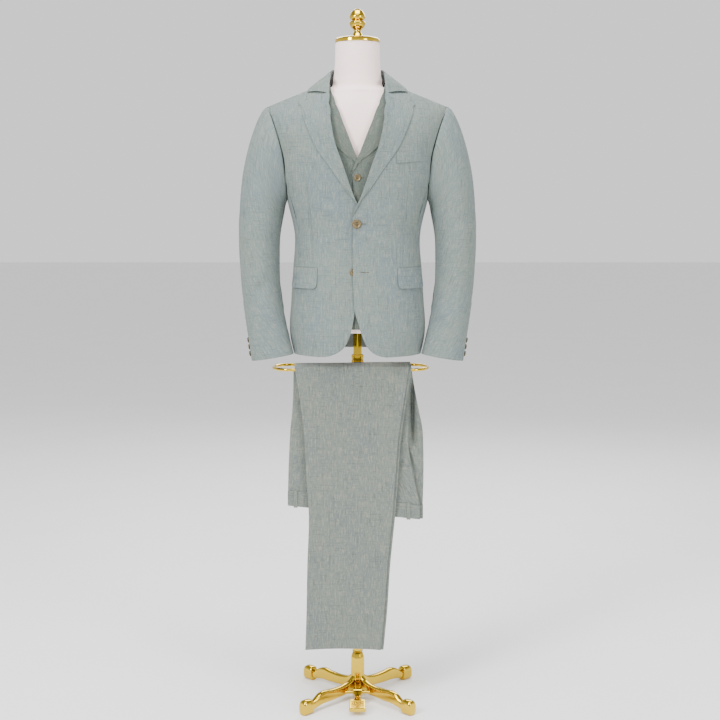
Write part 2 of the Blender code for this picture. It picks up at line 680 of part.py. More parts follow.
def make_sleeves(cloth, collection):
    count = len(ARMHOLE_TURNS) - 1
    top = sleeve_grid(SLEEVE_HIND_STATION - count, SLEEVE_FRONT_STATION)
    under = sleeve_grid(SLEEVE_FRONT_STATION, SLEEVE_HIND_STATION)
    normals = whole_sleeve_normals((top, under))
    for side, sign in (("left", 1.0), ("right", -1.0)):
        flip = np.array((sign, 1.0, 1.0))
        for name, points, out in (("top", top, normals[0]), ("under", under, normals[1])):
            drawn = pulled_in(points, ("first", "last"))
            wall(f"jacket_sleeve_{name}_{side}", drawn * flip, out * flip, SLEEVE_CLOTH, cloth, collection)


def make_collar(cloth, collection):
    """Stand and fall in one folded strip, from one gorge round the nape to the other."""
    half = []
    for row, heights in zip(COLLAR_ROWS, COLLAR_HEIGHTS):
        seam, roll_in, roll_out, edge = (np.array((*place, z)) for place, z in zip(row, heights))
        bulge = np.array((0.0, 0.0, 0.002))
        half.append([seam, roll_in, roll_out, (roll_out + edge) / 2 + bulge, edge])
    half = np.array(half)
    other = half[:0:-1] * np.array((-1.0, 1.0, 1.0))
    points = np.concatenate((other, half))
    normals = grid_normals(points)
    if normals[len(points) // 2, -1, 2] < 0:
        normals = -normals
    wall("jacket_collar", points, normals, COLLAR_CLOTH, cloth, collection)


def make_pockets(cloth, collection):
    """Flaps that hang from the waist pockets across the side seams, and the breast pocket's welt."""
    low, high = FLAP_ANGLES
    for side, mirrored in (("left", False), ("right", True)):
        places = []
        for level in (0.0, 0.12, 0.55, 1.0):
            z = FLAP_BOTTOM + (FLAP_TOP - FLAP_BOTTOM) * level
            trim = 2.5 * max(0.0, 1.0 - level / 0.2) ** 2
            places.append(between((low + trim, z), (high - trim, z), FLAP_COLUMNS))
        points, normals = surface(JACKET, places, -FLAP_LIFT - SLEEVE_CLOTH, mirrored)
        wall(f"jacket_flap_{side}", points, normals, SLEEVE_CLOTH, cloth, collection)
    places = []
    for level in (0.0, 0.5, 1.0):
        ends = [
            (JACKET.angle_at(x, z + WELT_HEIGHT * (level - 0.5)), z + WELT_HEIGHT * (level - 0.5))
            for x, z in zip(WELT_X, WELT_Z)
        ]
        places.append(between(*ends, WELT_COLUMNS))
    points, normals = surface(JACKET, places, -FLAP_LIFT - SLEEVE_CLOTH)
    wall("jacket_breast_welt", points, normals, SLEEVE_CLOTH, cloth, collection)


def waistcoat_places(left):
    side_x = WAISTCOAT_SHOULDER_X
    places = []
    for row in WAISTCOAT_ROWS:
        edge_z = row.edge_z or WAISTCOAT.ridge_z(row.edge_x)
        lapel_z = row.lapel_z or WAISTCOAT.ridge_z(row.lapel_x)
        end = (row.side_angle, row.side_z or WAISTCOAT.ridge_z(side_x))
        start = (WAISTCOAT.angle_at(row.edge_x, edge_z), edge_z)
        middle = (WAISTCOAT.angle_at(row.lapel_x, lapel_z), lapel_z)
        inside = between(start, middle, WAISTCOAT_LAPEL_COLUMNS)[:-1]
        places.append(inside + between(middle, end, WAISTCOAT_FRONT_COLUMNS))
    return places


def make_waistcoat(cloth, back_cloth, collection):
    first = WAISTCOAT_BREAK_ROW
    for side, left in (("left", True), ("right", False)):
        points, normals = surface(WAISTCOAT, waistcoat_places(left), mirrored=not left)
        if not left:
            points -= normals * underlap(points, WAISTCOAT_OVERLAP_END, WAISTCOAT_OVERLAP)
        body = pulled_in(points, ("last", "top"))
        wall(f"waistcoat_front_{side}", body, normals, WAISTCOAT_CLOTH, cloth, collection)
        start = first if left else first + 1
        lapel = np.s_[start:-1, : WAISTCOAT_LAPEL_COLUMNS + 1]
        raised = points[lapel] + normals[lapel] * (LAPEL_LIFT + WAISTCOAT_CLOTH)
        wall(f"waistcoat_lapel_{side}", raised, normals[lapel], WAISTCOAT_CLOTH, cloth, collection)
    make_waistcoat_back(back_cloth, collection)


def make_waistcoat_back(cloth, collection):
    """One back from side seam to side seam, with armholes and a nape."""
    half = []
    top_row = WAISTCOAT_ROWS[-1]
    ridge_end = (90.0, WAISTCOAT.ridge_z(top_row.edge_x))
    count = len(WAISTCOAT_ROWS)
    steps = WAISTCOAT_BACK_COLUMNS // 2
    for i, row in enumerate(WAISTCOAT_ROWS[:-1]):
        bottom = WAISTCOAT_ROWS[0].edge_z
        middle_z = bottom + (WAISTCOAT_NAPE_Z - bottom) * i / (count - 2)
        half.append(between((180.0 - row.side_angle, row.side_z), (180.0, middle_z), steps))
    shoulder = (90.0, WAISTCOAT.ridge_z(WAISTCOAT_SHOULDER_X))
    neck = between(ridge_end, (180.0, WAISTCOAT_NAPE_Z), steps - 2)
    half.append(between(shoulder, ridge_end, 2) + neck[1:])
    points, normals = surface(WAISTCOAT, half)
    flip = np.array((-1.0, 1.0, 1.0))
    points = np.concatenate((points, points[:, -2::-1] * flip), axis=1)
    normals = np.concatenate((normals, normals[:, -2::-1] * flip), axis=1)
    points = pulled_in(points, ("first", "last", "top"))
    wall("waistcoat_back", points, normals, WAISTCOAT_CLOTH, cloth, collection)


def button_on(name, centre, normal, radius, thickness, finish, collection):
    """A disc with a rounded rim, lying on the cloth."""
    shape = bmesh.new()
    bmesh.ops.create_cone(
        shape,
        cap_ends=True,
        segments=BUTTON_SIDES,
        radius1=radius,
        radius2=radius * 0.9,
        depth=thickness,
    )
    mesh = bpy.data.meshes.new(name)
    shape.to_mesh(mesh)
    shape.free()
    made = add_object(name, mesh, finish, collection)
    axis = np.array(normal) / np.linalg.norm(normal)
    side = np.cross((0.0, 0.0, 1.0), axis)
    side /= np.linalg.norm(side)
    turn = np.identity(4)
    turn[:3, 0], turn[:3, 1], turn[:3, 2] = side, np.cross(axis, side), axis
    place = np.array(centre) + axis * (thickness / 2 + BUTTON_LIFT)
    made.matrix_world = Matrix.Translation(place) @ Matrix(turn.tolist())
    return made


def make_buttons(horn, collection):
    layers = {
        "jacket_left": (JACKET, 0.0),
        "jacket_right": (JACKET, OVERLAP_DEPTH),
        "waistcoat": (WAISTCOAT, 0.0),
    }
    for button in FRONT_BUTTONS:
        layer, inward = layers[button.layer]
        angle = layer.angle_at(button.x, button.z)
        normal = layer.normal(angle, button.z)
        centre = layer.across(button.x, button.z) - normal * inward
        button_on(button.name, centre, normal, button.radius, button.thickness, horn, collection)
    for side, sign in (("left", 1.0), ("right", -1.0)):
        for number, z in enumerate(CUFF_BUTTON_Z, 1):
            centre, normal = sleeve_side(z, CUFF_BUTTON_ANGLE)
            flip = np.array((sign, 1.0, 1.0))
            button_on(
                f"jacket_cuff_button_{side}_{number}",
                centre * flip,
                normal * flip,
                CUFF_BUTTON_RADIUS,
                CUFF_BUTTON_THICKNESS,
                horn,
                collection,
            )


def sleeve_side(z, turn):
    """The point and outward normal of the sleeve at this height and angle round the arm."""
    levels = column(SLEEVE_ROWS, "z")[::-1]

    def point(height, at):
        row = SleeveRow(
            height, *(float(smooth(levels, column(SLEEVE_ROWS, part)[::-1], height)) for part in SleeveRow._fields[1:])
        )
        return sleeve_ring(row, [at])[0]

    across = point(z, turn + 2.0) - point(z, turn - 2.0)
    down = point(z - 0.004, turn) - point(z + 0.004, turn)
    normal = np.cross(across, down)
    return point(z, turn), normal / np.linalg.norm(normal)


def leg_path(reach, hip_rows):
    """Heights, depths and outward directions of a trouser leg's middle, hem to waist over the front rod."""
    path = [(row.z, -BAR_HALF_DEPTH - reach, 180.0) for row in FRONT_LENGTH]
    for i in range(1, FOLD_STEPS):
        turn = 180.0 - 180.0 * i / FOLD_STEPS
        path.append((BAR_Z + reach * sin(radians(turn)), -BAR_HALF_DEPTH + reach * cos(radians(turn)), turn))
    path += [(row.z, -BAR_HALF_DEPTH + reach, 0.0) for row in hip_rows]
    return path


def leg_edges(hip_rows):
    """Left and right edges along the same path, passing evenly over the fold."""
    edges = [(row.left, row.right) for row in FRONT_LENGTH]
    start, end = np.array(edges[-1]), np.array((hip_rows[0].left, hip_rows[0].right))
    edges += [tuple(start + (end - start) * i / FOLD_STEPS) for i in range(1, FOLD_STEPS)]
    return edges + [(row.left, row.right) for row in hip_rows]


def waist_z(x, height):
    """The waist seam slopes down to the seat."""
    return height - (x - NEAR_LENGTH[-1].left) * BAND_DROP


def leg_grid(reach, hip_rows, lean, shift, panel):
    """The middle surface, outward normals and half thickness of one panel of a folded leg."""
    path = leg_path(reach, hip_rows)
    middle, normals, halves = [], [], []
    hips_from = len(FRONT_LENGTH) + FOLD_STEPS - 1
    for i, ((z, y, turn), (left, right)) in enumerate(zip(path, leg_edges(hip_rows))):
        left = left + shift * (i < hips_from)
        right = right + shift * (i < hips_from)
        down = max(0.0, (BAR_Z - z) / (BAR_Z - hip_rows[-1].z)) if i >= hips_from else 0.0
        full = LEG_THICKNESS + (HIP_THICKNESS - LEG_THICKNESS) * down**0.8
        ends = (left, OUTSEAM_X - SEAM / 2) if panel == "front" else (OUTSEAM_X + SEAM / 2, right)
        shares, thick = list(PRESSED_SHARES), list(PRESSED_THICKNESS)
        if panel == "back":
            shares, thick = [1.0 - share for share in shares[::-1]], thick[::-1]
        xs = [ends[0] + (ends[1] - ends[0]) * share for share in shares]
        out = np.array((0.0, cos(radians(turn)), sin(radians(turn))))
        z_drop = down**2
        middle.append([(x, y + lean * down, z + (waist_z(x, z) - z) * z_drop) for x in xs])
        normals.append([out] * len(xs))
        halves.append([full / 2 * part for part in thick])
    return np.array(middle), np.array(normals), np.array(halves)[..., None]


def make_trousers(cloth, collection):
    """Each leg lies flat, pressed along its creases, so its hidden layers are one rounded solid."""
    far_reach = BAR_RADIUS + LAYER_GAP + LEG_THICKNESS / 2
    near_reach = far_reach + LEG_THICKNESS + LAYER_GAP
    legs = (
        ("near", near_reach, NEAR_LENGTH, NEAR_LEAN, 0.0),
        ("far", far_reach, FAR_LENGTH, 0.0, FAR_SHIFT),
    )
    for leg, reach, rows, lean, shift in legs:
        for panel in ("front", "back"):
            middle, normals, halves = leg_grid(reach, rows, lean, shift, panel)
            outer, inner = middle + normals * halves, middle - normals * halves
            two_sided(f"trouser_{leg}_{panel}", outer, inner, cloth, collection, HEM_GROOVE)
        make_waistband(leg, rows, -BAR_HALF_DEPTH + reach + lean, cloth, collection)


def make_waistband(leg, rows, y, cloth, collection):
    """The band below the waist seam, with its belt loops."""
    left, right = rows[-1].left, rows[-1].right
    middle, halves = [], []
    for height in (-BAND_HEIGHT, -BAND_HEIGHT / 2, -SEAM):
        line = [left + (right - left) * share for share in BAND_SHARES]
        middle.append([(x, y, waist_z(x, rows[-1].z) + height) for x in line])
        halves.append([BAND_THICKNESS / 2 * part for part in BAND_FULLNESS])
    middle, halves = np.array(middle), np.array(halves)[..., None]
    out = np.array((0.0, 1.0, 0.0))
    outer, inner = middle + out * halves, middle - out * halves
    two_sided(f"trouser_waistband_{leg}", outer, inner, cloth, collection, HEM_GROOVE)
    side = 1.0 if leg == "near" else -1.0
    face = y + side * (BAND_THICKNESS / 2 + LAYER_GAP)
    for place, x in (("front", left + LOOP_FROM_FRONT), ("seat", right - LOOP_FROM_SEAT)):
        name = f"trouser_loop_{leg}_{place}"
        top = waist_z(x, rows[-1].z) + LOOP_ABOVE_SEAM
        box_between(
            name,
            (x - LOOP_WIDTH / 2, min(face, face + side * LOOP_THICKNESS), top - LOOP_HEIGHT),
            (x + LOOP_WIDTH / 2, max(face, face + side * LOOP_THICKNESS), top),
            cloth,
            collection,
        )


def box_between(name, low, high, finish, collection):
    shape = bmesh.new()
    bmesh.ops.create_cube(shape, size=1.0)
    low, high = np.array(low), np.array(high)
    for vert in shape.verts:
        vert.co = (low + high) / 2 + np.array(vert.co) * (high - low)
    mesh = bpy.data.meshes.new(name)
    shape.to_mesh(mesh)
    shape.free()
    return add_object(name, mesh, finish, collection)


def turned(name, profile, steps, finish, collection, turn=0.0, at=(0.0, 0.0)):
    """A turned piece: its profile of (radius, height) runs from the top down the outer side."""
    mesh = bpy.data.meshes.new(name)
    closed = profile[0][0] > 0.0
    points = [(radius, 0.0, z) for radius, z in profile]
    edges = [(i, i + 1) for i in range(len(points) - 1)]
    if closed:
        edges.append((len(points) - 1, 0))
    mesh.from_pydata(points, edges, [])
    made = add_object(name, mesh, finish, collection)
    made.location = (*at, 0.0)
    made.rotation_euler = (0.0, 0.0, radians(turn))
    screw = made.modifiers.new("turning", "SCREW")
    screw.steps = steps
    screw.render_steps = steps
    screw.use_merge_vertices = True
    screw.merge_threshold = 0.00001
    screw.use_smooth_shade = True
    return made


def make_form(cover, collection):
    """The torso with its neck, closed below and at the shoulders."""
    rings = []
    for z in FORM_LEVELS:
        rings.append([FORM.around(360.0 * i / FORM_SIDES, z) for i in range(FORM_SIDES)])
    for row in NECK_ROWS:
        ring = []
        for i in range(FORM_SIDES):
            turn = 2 * pi * i / FORM_SIDES
            depth = row.front if cos(turn) > 0 else row.back
            ring.append((row.half_width * sin(turn), -depth * cos(turn), row.z))
        rings.append(ring)
    lofted("dress_form", rings, cover, collection)


def lofted(name, rings, finish, collection):
    """A closed solid through rings of equally many points, with flat ends."""
    sides = len(rings[0])
    points = [point for ring in rings for point in ring]
    faces = []
    for k in range(len(rings) - 1):
        for i in range(sides):
            j = (i + 1) % sides
            a, b = k * sides + i, k * sides + j
            faces += [(a, b, b + sides), (a, b + sides, a + sides)]
    faces.append(tuple(range(sides))[::-1])
    faces.append(tuple(range((len(rings) - 1) * sides, len(rings) * sides)))
    return mesh_object(name, points, faces, finish, collection)


def make_neck_cap(brass, collection):
    top = FORM_NECK_TOP + 0.0003
    cap = [
        (0.0, top + 0.0150),
        (0.040, top + 0.0135),
        (0.0545, top + 0.0105),
        (0.0575, top + 0.0060),
        (0.0575, top + 0.0010),
        (0.0565, top),
        (0.0, top),
    ]
    turned("neck_cap", cap, 28, brass, collection)
    base = top + 0.0153
    finial = [
        (0.0, base + 0.0705),
        (0.0080, base + 0.0690),
        (0.0150, base + 0.0620),
        (0.0182, base + 0.0560),
        (0.0205, base + 0.0500),
        (0.0182, base + 0.0455),
        (0.0131, base + 0.0415),
        (0.0205, base + 0.0370),
        (0.0205, base + 0.0330),
        (0.0165, base + 0.0240),
        (0.0090, base + 0.0180),
        (0.0090, base + 0.0140),
        (0.0120, base + 0.0070),
        (0.0153, base + 0.0020),
        (0.0153, base),
        (0.0, base),
    ]
    turned("finial", finial, 24, brass, collection)


def make_poles(brass, collection):
    upper_top = FORM_BOTTOM - 0.0003
    upper = [
        (0.0, upper_top),
        (UPPER_POLE_RADIUS, upper_top),
        (UPPER_POLE_RADIUS, UPPER_POLE_BOTTOM),
        (0.0, UPPER_POLE_BOTTOM),
    ]
    turned("pole_upper", upper, POLE_SIDES, brass, collection)
    low, high = COLUMN_TOP + 0.0003, COLLAR_BOTTOM - 0.0003
    floor = UPPER_POLE_BOTTOM - 0.004
    lower = [
        (0.0, floor),
        (LOWER_POLE_BORE, floor),
        (LOWER_POLE_BORE, high),
        (LOWER_POLE_RADIUS, high),
        (LOWER_POLE_RADIUS, low),
        (0.0, low),
    ]
    turned("pole_lower", lower, POLE_SIDES, brass, collection)
    collar = [
        (COLLAR_RADIUS - 0.0015, COLLAR_TOP),
        (COLLAR_RADIUS, COLLAR_TOP - 0.0020),
        (COLLAR_RADIUS, COLLAR_BOTTOM + 0.0015),
        (COLLAR_RADIUS - 0.0015, COLLAR_BOTTOM),
        (LOWER_POLE_BORE, COLLAR_BOTTOM),
        (LOWER_POLE_BORE, COLLAR_TOP),
    ]
    turned("pole_collar", collar, POLE_SIDES, brass, collection)


def make_trouser_bar(brass, collection):
    """A long wire loop round the pole, its rear rod held to it by a short cross rod."""
    points = []
    arc = 8
    straight = BAR_HALF_WIDTH - BAR_END
    for sign in (1.0, -1.0):
        for i in range(arc + 1):
            turn = radians(-90.0 + 180.0 * i / arc)
            reach = straight + BAR_END * cos(turn)
            points.append((BAR_X + sign * reach, sign * BAR_HALF_DEPTH * sin(turn), BAR_Z))
    wire = bpy.data.curves.new("trouser_bar", "CURVE")
    wire.dimensions = "3D"
    wire.bevel_depth = BAR_RADIUS
    wire.bevel_resolution = 2
    spline = wire.splines.new("POLY")
    spline.points.add(len(points) - 1)
    for place, point in zip(spline.points, points):
        place.co = (*point, 1.0)
    spline.use_cyclic_u = True
    loop = add_object("trouser_bar", wire, brass, collection)
    start = (0.0, LOWER_POLE_RADIUS + 0.0004, BAR_Z)
    end = (0.0, BAR_HALF_DEPTH - BAR_RADIUS - 0.0004, BAR_Z)
    rod("bar_bracket", start, end, BRACKET_RADIUS, brass, collection)
    return loop


def rod(name, start, end, radius, finish, collection):
    """A straight round rod between two points."""
    shape = bmesh.new()
    start, end = np.array(start), np.array(end)
    length = np.linalg.norm(end - start)
    bmesh.ops.create_cone(shape, cap_ends=True, segments=12, radius1=radius, radius2=radius, depth=length)
    mesh = bpy.data.meshes.new(name)
    shape.to_mesh(mesh)
    shape.free()
    made = add_object(name, mesh, finish, collection)
    made.location = (start + end) / 2
    run = (end - start) / length
    made.rotation_euler = (0.0, radians(90.0), 0.0) if abs(run[0]) > 0.5 else (radians(90.0), 0.0, 0.0)
    return made


def make_base(brass, collection):
    """The faceted column, its four legs with block feet, and the pedal on its axle."""
    top = COLUMN_TOP
    profile = [(0.0, top), (0.0125, top - 0.001), (0.0185, top - 0.011), (COLUMN_RADIUS, top - 0.016)]
    profile += [(COLUMN_RADIUS, 0.018), (0.016, 0.014), (0.0, 0.014)]
    turned("base_column", profile, COLUMN_SIDES, brass, collection, turn=22.5)
    for number, turn in enumerate((45.0, 135.0, 225.0, 315.0), 1):
        rings = []
        for station in LEG_STATIONS:
            ring = chamfered(station.half_width, station.bottom, station.top, 0.25)
            c, s = cos(radians(turn)), sin(radians(turn))
            rings.append([(station.reach * c - w * s, station.reach * s + w * c, z) for w, z in ring])
        lofted(f"base_leg_{number}", rings, brass, collection)
    rod(
        "pedal_axle",
        (-AXLE_HALF_LENGTH, AXLE_Y, AXLE_Z),
        (AXLE_HALF_LENGTH, AXLE_Y, AXLE_Z),
        AXLE_RADIUS,
        brass,
        collection,
    )


def chamfered(half_width, bottom, top, cut):
    """An upright section with cut top corners."""
    inset = half_width * cut * 2
    fall = (top - bottom) * cut
    return [
        (-half_width, bottom),
        (half_width, bottom),
        (half_width, top - fall),
        (half_width - inset, top),
        (-half_width + inset, top),
        (-half_width, top - fall),
    ]


def make_pedal(brass, collection, cutters):
    rings = []
    for station in PEDAL_STATIONS:
        ring = chamfered(station.half_width, station.bottom, station.top, 0.15)
        rings.append([(w, station.y, z) for w, z in ring])
    pedal = lofted("pedal", rings, brass, collection)
    bore = rod(
        "pedal_bore",
        (-0.03, AXLE_Y, AXLE_Z),
        (0.03, AXLE_Y, AXLE_Z),
        AXLE_RADIUS + AXLE_PLAY,
        brass,
        cutters,
    )
    bore.hide_render = True
    bore.display_type = "WIRE"
    cut = pedal.modifiers.new("axle_bore", "BOOLEAN")
    cut.object = bore
    cut.operation = "DIFFERENCE"


def main():
    for leftover in list(bpy.data.objects):
        bpy.data.objects.remove(leftover, do_unlink=True)
    suit = new_collection("three_piece_suit_on_dress_form")
    cutters = new_collection("cutters")
    cutters.hide_render = True
    cloth = material("sage linen", (0.36, 0.40, 0.38), 0.85)
    back_cloth = material("waistcoat back satin", (0.30, 0.33, 0.32), 0.45)
    horn = material("brown horn", (0.24, 0.16, 0.08), 0.40)
    cover = material("form jersey", (0.85, 0.82, 0.80), 0.80)
    brass = material("polished brass", (0.90, 0.62, 0.18), 0.12, 1.0)
    make_form(cover, suit)
    make_neck_cap(brass, suit)
    make_poles(brass, suit)
    make_trouser_bar(brass, suit)
    make_base(brass, suit)
    make_pedal(brass, suit, cutters)
    make_jacket_body(cloth, suit)
    make_sleeves(cloth, suit)
    make_collar(cloth, suit)
    make_pockets(cloth, suit)
    make_waistcoat(cloth, back_cloth, suit)
    make_buttons(horn, suit)
    make_trousers(cloth, suit)


main()
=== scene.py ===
"""A linen three-piece suit on a dress form and its gold stand, with the trousers hung over the bar."""

from collections import namedtuple
from math import cos, pi, radians, sin

import bmesh
import bpy
import numpy as np
from mathutils import Matrix, Vector, noise


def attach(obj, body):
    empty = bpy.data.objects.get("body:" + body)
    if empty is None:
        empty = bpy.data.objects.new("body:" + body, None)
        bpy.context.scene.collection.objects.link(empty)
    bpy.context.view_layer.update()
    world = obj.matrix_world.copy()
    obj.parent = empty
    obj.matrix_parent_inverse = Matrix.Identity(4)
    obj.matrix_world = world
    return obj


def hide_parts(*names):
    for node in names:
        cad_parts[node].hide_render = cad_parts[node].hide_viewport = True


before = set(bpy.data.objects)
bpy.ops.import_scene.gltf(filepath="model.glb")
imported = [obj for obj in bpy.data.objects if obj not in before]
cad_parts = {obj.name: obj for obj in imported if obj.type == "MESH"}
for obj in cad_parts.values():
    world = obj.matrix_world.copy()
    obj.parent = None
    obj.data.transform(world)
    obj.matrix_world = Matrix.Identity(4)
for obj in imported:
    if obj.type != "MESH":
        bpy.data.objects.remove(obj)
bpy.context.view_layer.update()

# The view: a little below chest height, looking slightly down, as one photographs a whole suit in a studio.
# Floor and light are a pale, even sweep, with soft lamps at both sides, overhead and behind, and daylight.
LENS = 66.8
EYE = (0.0065, -3.50, 1.31)
LOOKING_DOWN = 6.42
FLOOR_REACH = 30


def placed(name, data):
    """A new object in the scene with this mesh, lamp or camera."""
    made = bpy.data.objects.new(name, data)
    bpy.context.scene.collection.objects.link(made)
    return made


def new_finish(name, **settings):
    """A material with its node tree and Principled shader, whose inputs are set by name."""
    made = bpy.data.materials.new(name)
    made.use_nodes = True
    shader = made.node_tree.nodes["Principled BSDF"]
    for key, value in settings.items():
        shader.inputs[key.replace("_", " ")].default_value = value
    return made, made.node_tree, shader


def add_node(tree, kind, **settings):
    """A node of this kind; its settings are properties, or input values by input name."""
    node = tree.nodes.new(kind)
    for key, value in settings.items():
        if hasattr(node, key):
            setattr(node, key, value)
        else:
            node.inputs[key.replace("_", " ")].default_value = value
    return node


def join(tree, source, target):
    """A link between two sockets."""
    tree.links.new(source, target)


def clouds(tree, scale, detail=2.0, distortion=0.0):
    """Noise in the piece's own space."""
    place = add_node(tree, "ShaderNodeTexCoord")
    cloud = add_node(tree, "ShaderNodeTexNoise", Scale=scale, Detail=detail, Distortion=distortion)
    join(tree, place.outputs["Object"], cloud.inputs["Vector"])
    return cloud.outputs["Fac"]


def ranged(tree, value, low, high, out_low, out_high):
    """A value brought from one range to another, and held inside it."""
    ramp = add_node(tree, "ShaderNodeMapRange", From_Min=low, From_Max=high, To_Min=out_low, To_Max=out_high)
    join(tree, value, ramp.inputs["Value"])
    return ramp.outputs["Result"]


def blended(tree, share, first, second):
    """Two colours, each a socket or three numbers, mixed by a share."""
    mix = add_node(tree, "ShaderNodeMix", data_type="RGBA")
    join(tree, share, mix.inputs[0])
    for value, target in ((first, mix.inputs[6]), (second, mix.inputs[7])):
        if isinstance(value, bpy.types.NodeSocket):
            join(tree, value, target)
        else:
            target.default_value = (*value, 1.0)
    return mix.outputs[2]


sweep_paper, tree, shader = new_finish("sweep paper", Roughness=0.9)
tint = blended(tree, clouds(tree, 3.0), (0.90, 0.90, 0.90), (0.94, 0.94, 0.94))
join(tree, tint, shader.inputs["Base Color"])
sweep_mesh = bpy.data.meshes.new("floor")
corners = [(-FLOOR_REACH, -FLOOR_REACH, 0), (FLOOR_REACH, -FLOOR_REACH, 0)]
corners += [(FLOOR_REACH, FLOOR_REACH, 0), (-FLOOR_REACH, FLOOR_REACH, 0)]
sweep_mesh.from_pydata(corners, [], [(0, 1, 2, 3)])
sweep_mesh.materials.append(sweep_paper)
floor = placed("floor", sweep_mesh)

camera = bpy.data.cameras.new("camera")
camera.lens = LENS
camera.sensor_width = 36.0
camera_object = placed("camera", camera)
camera_object.location = EYE
camera_object.rotation_euler = (radians(90.0 - LOOKING_DOWN), 0.0, 0.0)
bpy.context.scene.camera = camera_object

Lamp = namedtuple("Lamp", "name place aim width height watts")
for lamp in (
    Lamp("key", (-2.2, -2.6, 2.7), (0, 0, 1.2), 0.9, 1.4, 145),
    Lamp("fill", (2.6, -2.9, 1.9), (0, 0, 1.1), 1.0, 1.8, 78),
    Lamp("overhead", (0.0, -0.4, 4.0), (0, 0, 1.0), 2.0, 1.6, 110),
    Lamp("behind", (0.6, 3.2, 3.0), (0, 0, 1.0), 2.6, 1.4, 90),
):
    light = bpy.data.lights.new(lamp.name, "AREA")
    light.shape = "RECTANGLE"
    light.size, light.size_y, light.energy = lamp.width, lamp.height, lamp.watts
    light_object = placed(lamp.name, light)
    light_object.location = lamp.place
    aim = Vector(lamp.aim) - Vector(lamp.place)
    light_object.rotation_euler = aim.to_track_quat("-Z", "Y").to_euler()

daylight = bpy.data.lights.new("daylight", "SUN")
daylight.energy = 1.5
daylight.angle = radians(50.0)
placed("daylight", daylight).rotation_euler = (radians(30.0), 0.0, radians(-10.0))

world = bpy.data.worlds.new("studio")
bpy.context.scene.world = world
world.use_nodes = True
backdrop = world.node_tree.nodes["Background"]
backdrop.inputs["Color"].default_value = (1.0, 1.0, 1.0, 1.0)
towards = add_node(world.node_tree, "ShaderNodeTexCoord")
parts = add_node(world.node_tree, "ShaderNodeSeparateXYZ")
join(world.node_tree, towards.outputs["Generated"], parts.inputs["Vector"])
fade = ranged(world.node_tree, parts.outputs["Z"], 0.20, 0.60, 1.08, 0.45)
join(world.node_tree, fade, backdrop.inputs["Strength"])

# Gold-plated iron of the whole stand: cast and turned pieces, polished bright, with faint wiping marks
# and a plating whose tone drifts a little from place to place.


def relief(tree, shader, height, strength, distance):
    """The finish's surface raised by this height."""
    bump = add_node(tree, "ShaderNodeBump", Strength=strength, Distance=distance)
    join(tree, height, bump.inputs["Height"])
    join(tree, bump.outputs["Normal"], shader.inputs["Normal"])


gold, tree, shader = new_finish("polished gold plate", Metallic=1.0)
tone, wipes = clouds(tree, 22.0, 3.0), clouds(tree, 140.0)
join(tree, blended(tree, tone, (0.56, 0.36, 0.020), (0.74, 0.50, 0.040)), shader.inputs["Base Color"])
join(tree, ranged(tree, wipes, 0.0, 1.0, 0.05, 0.14), shader.inputs["Roughness"])
relief(tree, shader, tone, 0.12, 0.0003)

# The base: an eight-sided cast column and four cast legs, which sweep down, rise over an arched ankle and
# end in block feet with rounded tops. The column's facets have eased arrises.
FOOT_TURNS = (45.0, 135.0, 225.0, 315.0)
COLUMN_TOP = 0.1260


def through(rows, places):
    """Rows of a table or grid at fractional places, on a smooth curve through them all."""
    rows = np.asarray(rows, float)
    places = np.clip(np.asarray(places, float), 0, len(rows) - 1)
    first = np.minimum(places.astype(int), len(rows) - 2)
    t = (places - first).reshape(-1, *[1] * (rows.ndim - 1))
    padded = np.concatenate((2 * rows[:1] - rows[1:2], rows, 2 * rows[-1:] - rows[-2:-1]))
    a, b, c, d = (padded[first + k] for k in range(4))
    return 0.5 * (2 * b + (c - a) * t + (2 * a - 5 * b + 4 * c - d) * t**2 + (3 * b - a - 3 * c + d) * t**3)


def smoothed(rows, count):
    """This many rows, evenly spread along a table."""
    return through(rows, np.linspace(0, len(rows) - 1, count))


def eased(outline, radius, steps=4):
    """A closed 2-D outline with its corners rounded to about this radius."""
    outline = [np.array(point, float) for point in outline]
    count = len(outline)
    made = []
    for i, corner in enumerate(outline):
        before, after = outline[i - 1] - corner, outline[(i + 1) % count] - corner
        near, far = np.linalg.norm(before), np.linalg.norm(after)
        start = corner + before / near * min(radius, near * 0.45)
        end = corner + after / far * min(radius, far * 0.45)
        for k in range(steps + 1):
            t = k / steps
            made.append((1 - t) ** 2 * start + 2 * t * (1 - t) * corner + t**2 * end)
    return made


def meshed(name, points, faces, finishes, sharp):
    """A mesh in its place in the frame, smooth except at edges sharper than this angle."""
    mesh = bpy.data.meshes.new(name)
    mesh.from_pydata(points.tolist(), [], faces)
    for finish in finishes:
        mesh.materials.append(finish)
    mesh.shade_smooth()
    mesh.set_sharp_from_angle(angle=radians(sharp))
    return placed(name, mesh)


def new_piece(name, points, faces, finish, sharp=35.0):
    """A closed body of any faces, facing outwards."""
    points = np.asarray(points, float)
    size = 0.0
    for face in faces:
        a = points[face[0]]
        for k in range(1, len(face) - 1):
            size += float(np.dot(a, np.cross(points[face[k]], points[face[k + 1]])))
    outward = 1 if size >= 0 else -1
    return meshed(name, points, [[int(i) for i in face][::outward] for face in faces], [finish], sharp)


def fitted(made, body, finish_slot, *nodes):
    """The piece rides on its body and stands for its solids."""
    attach(made, body)
    if nodes:
        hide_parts(*nodes)
    return made


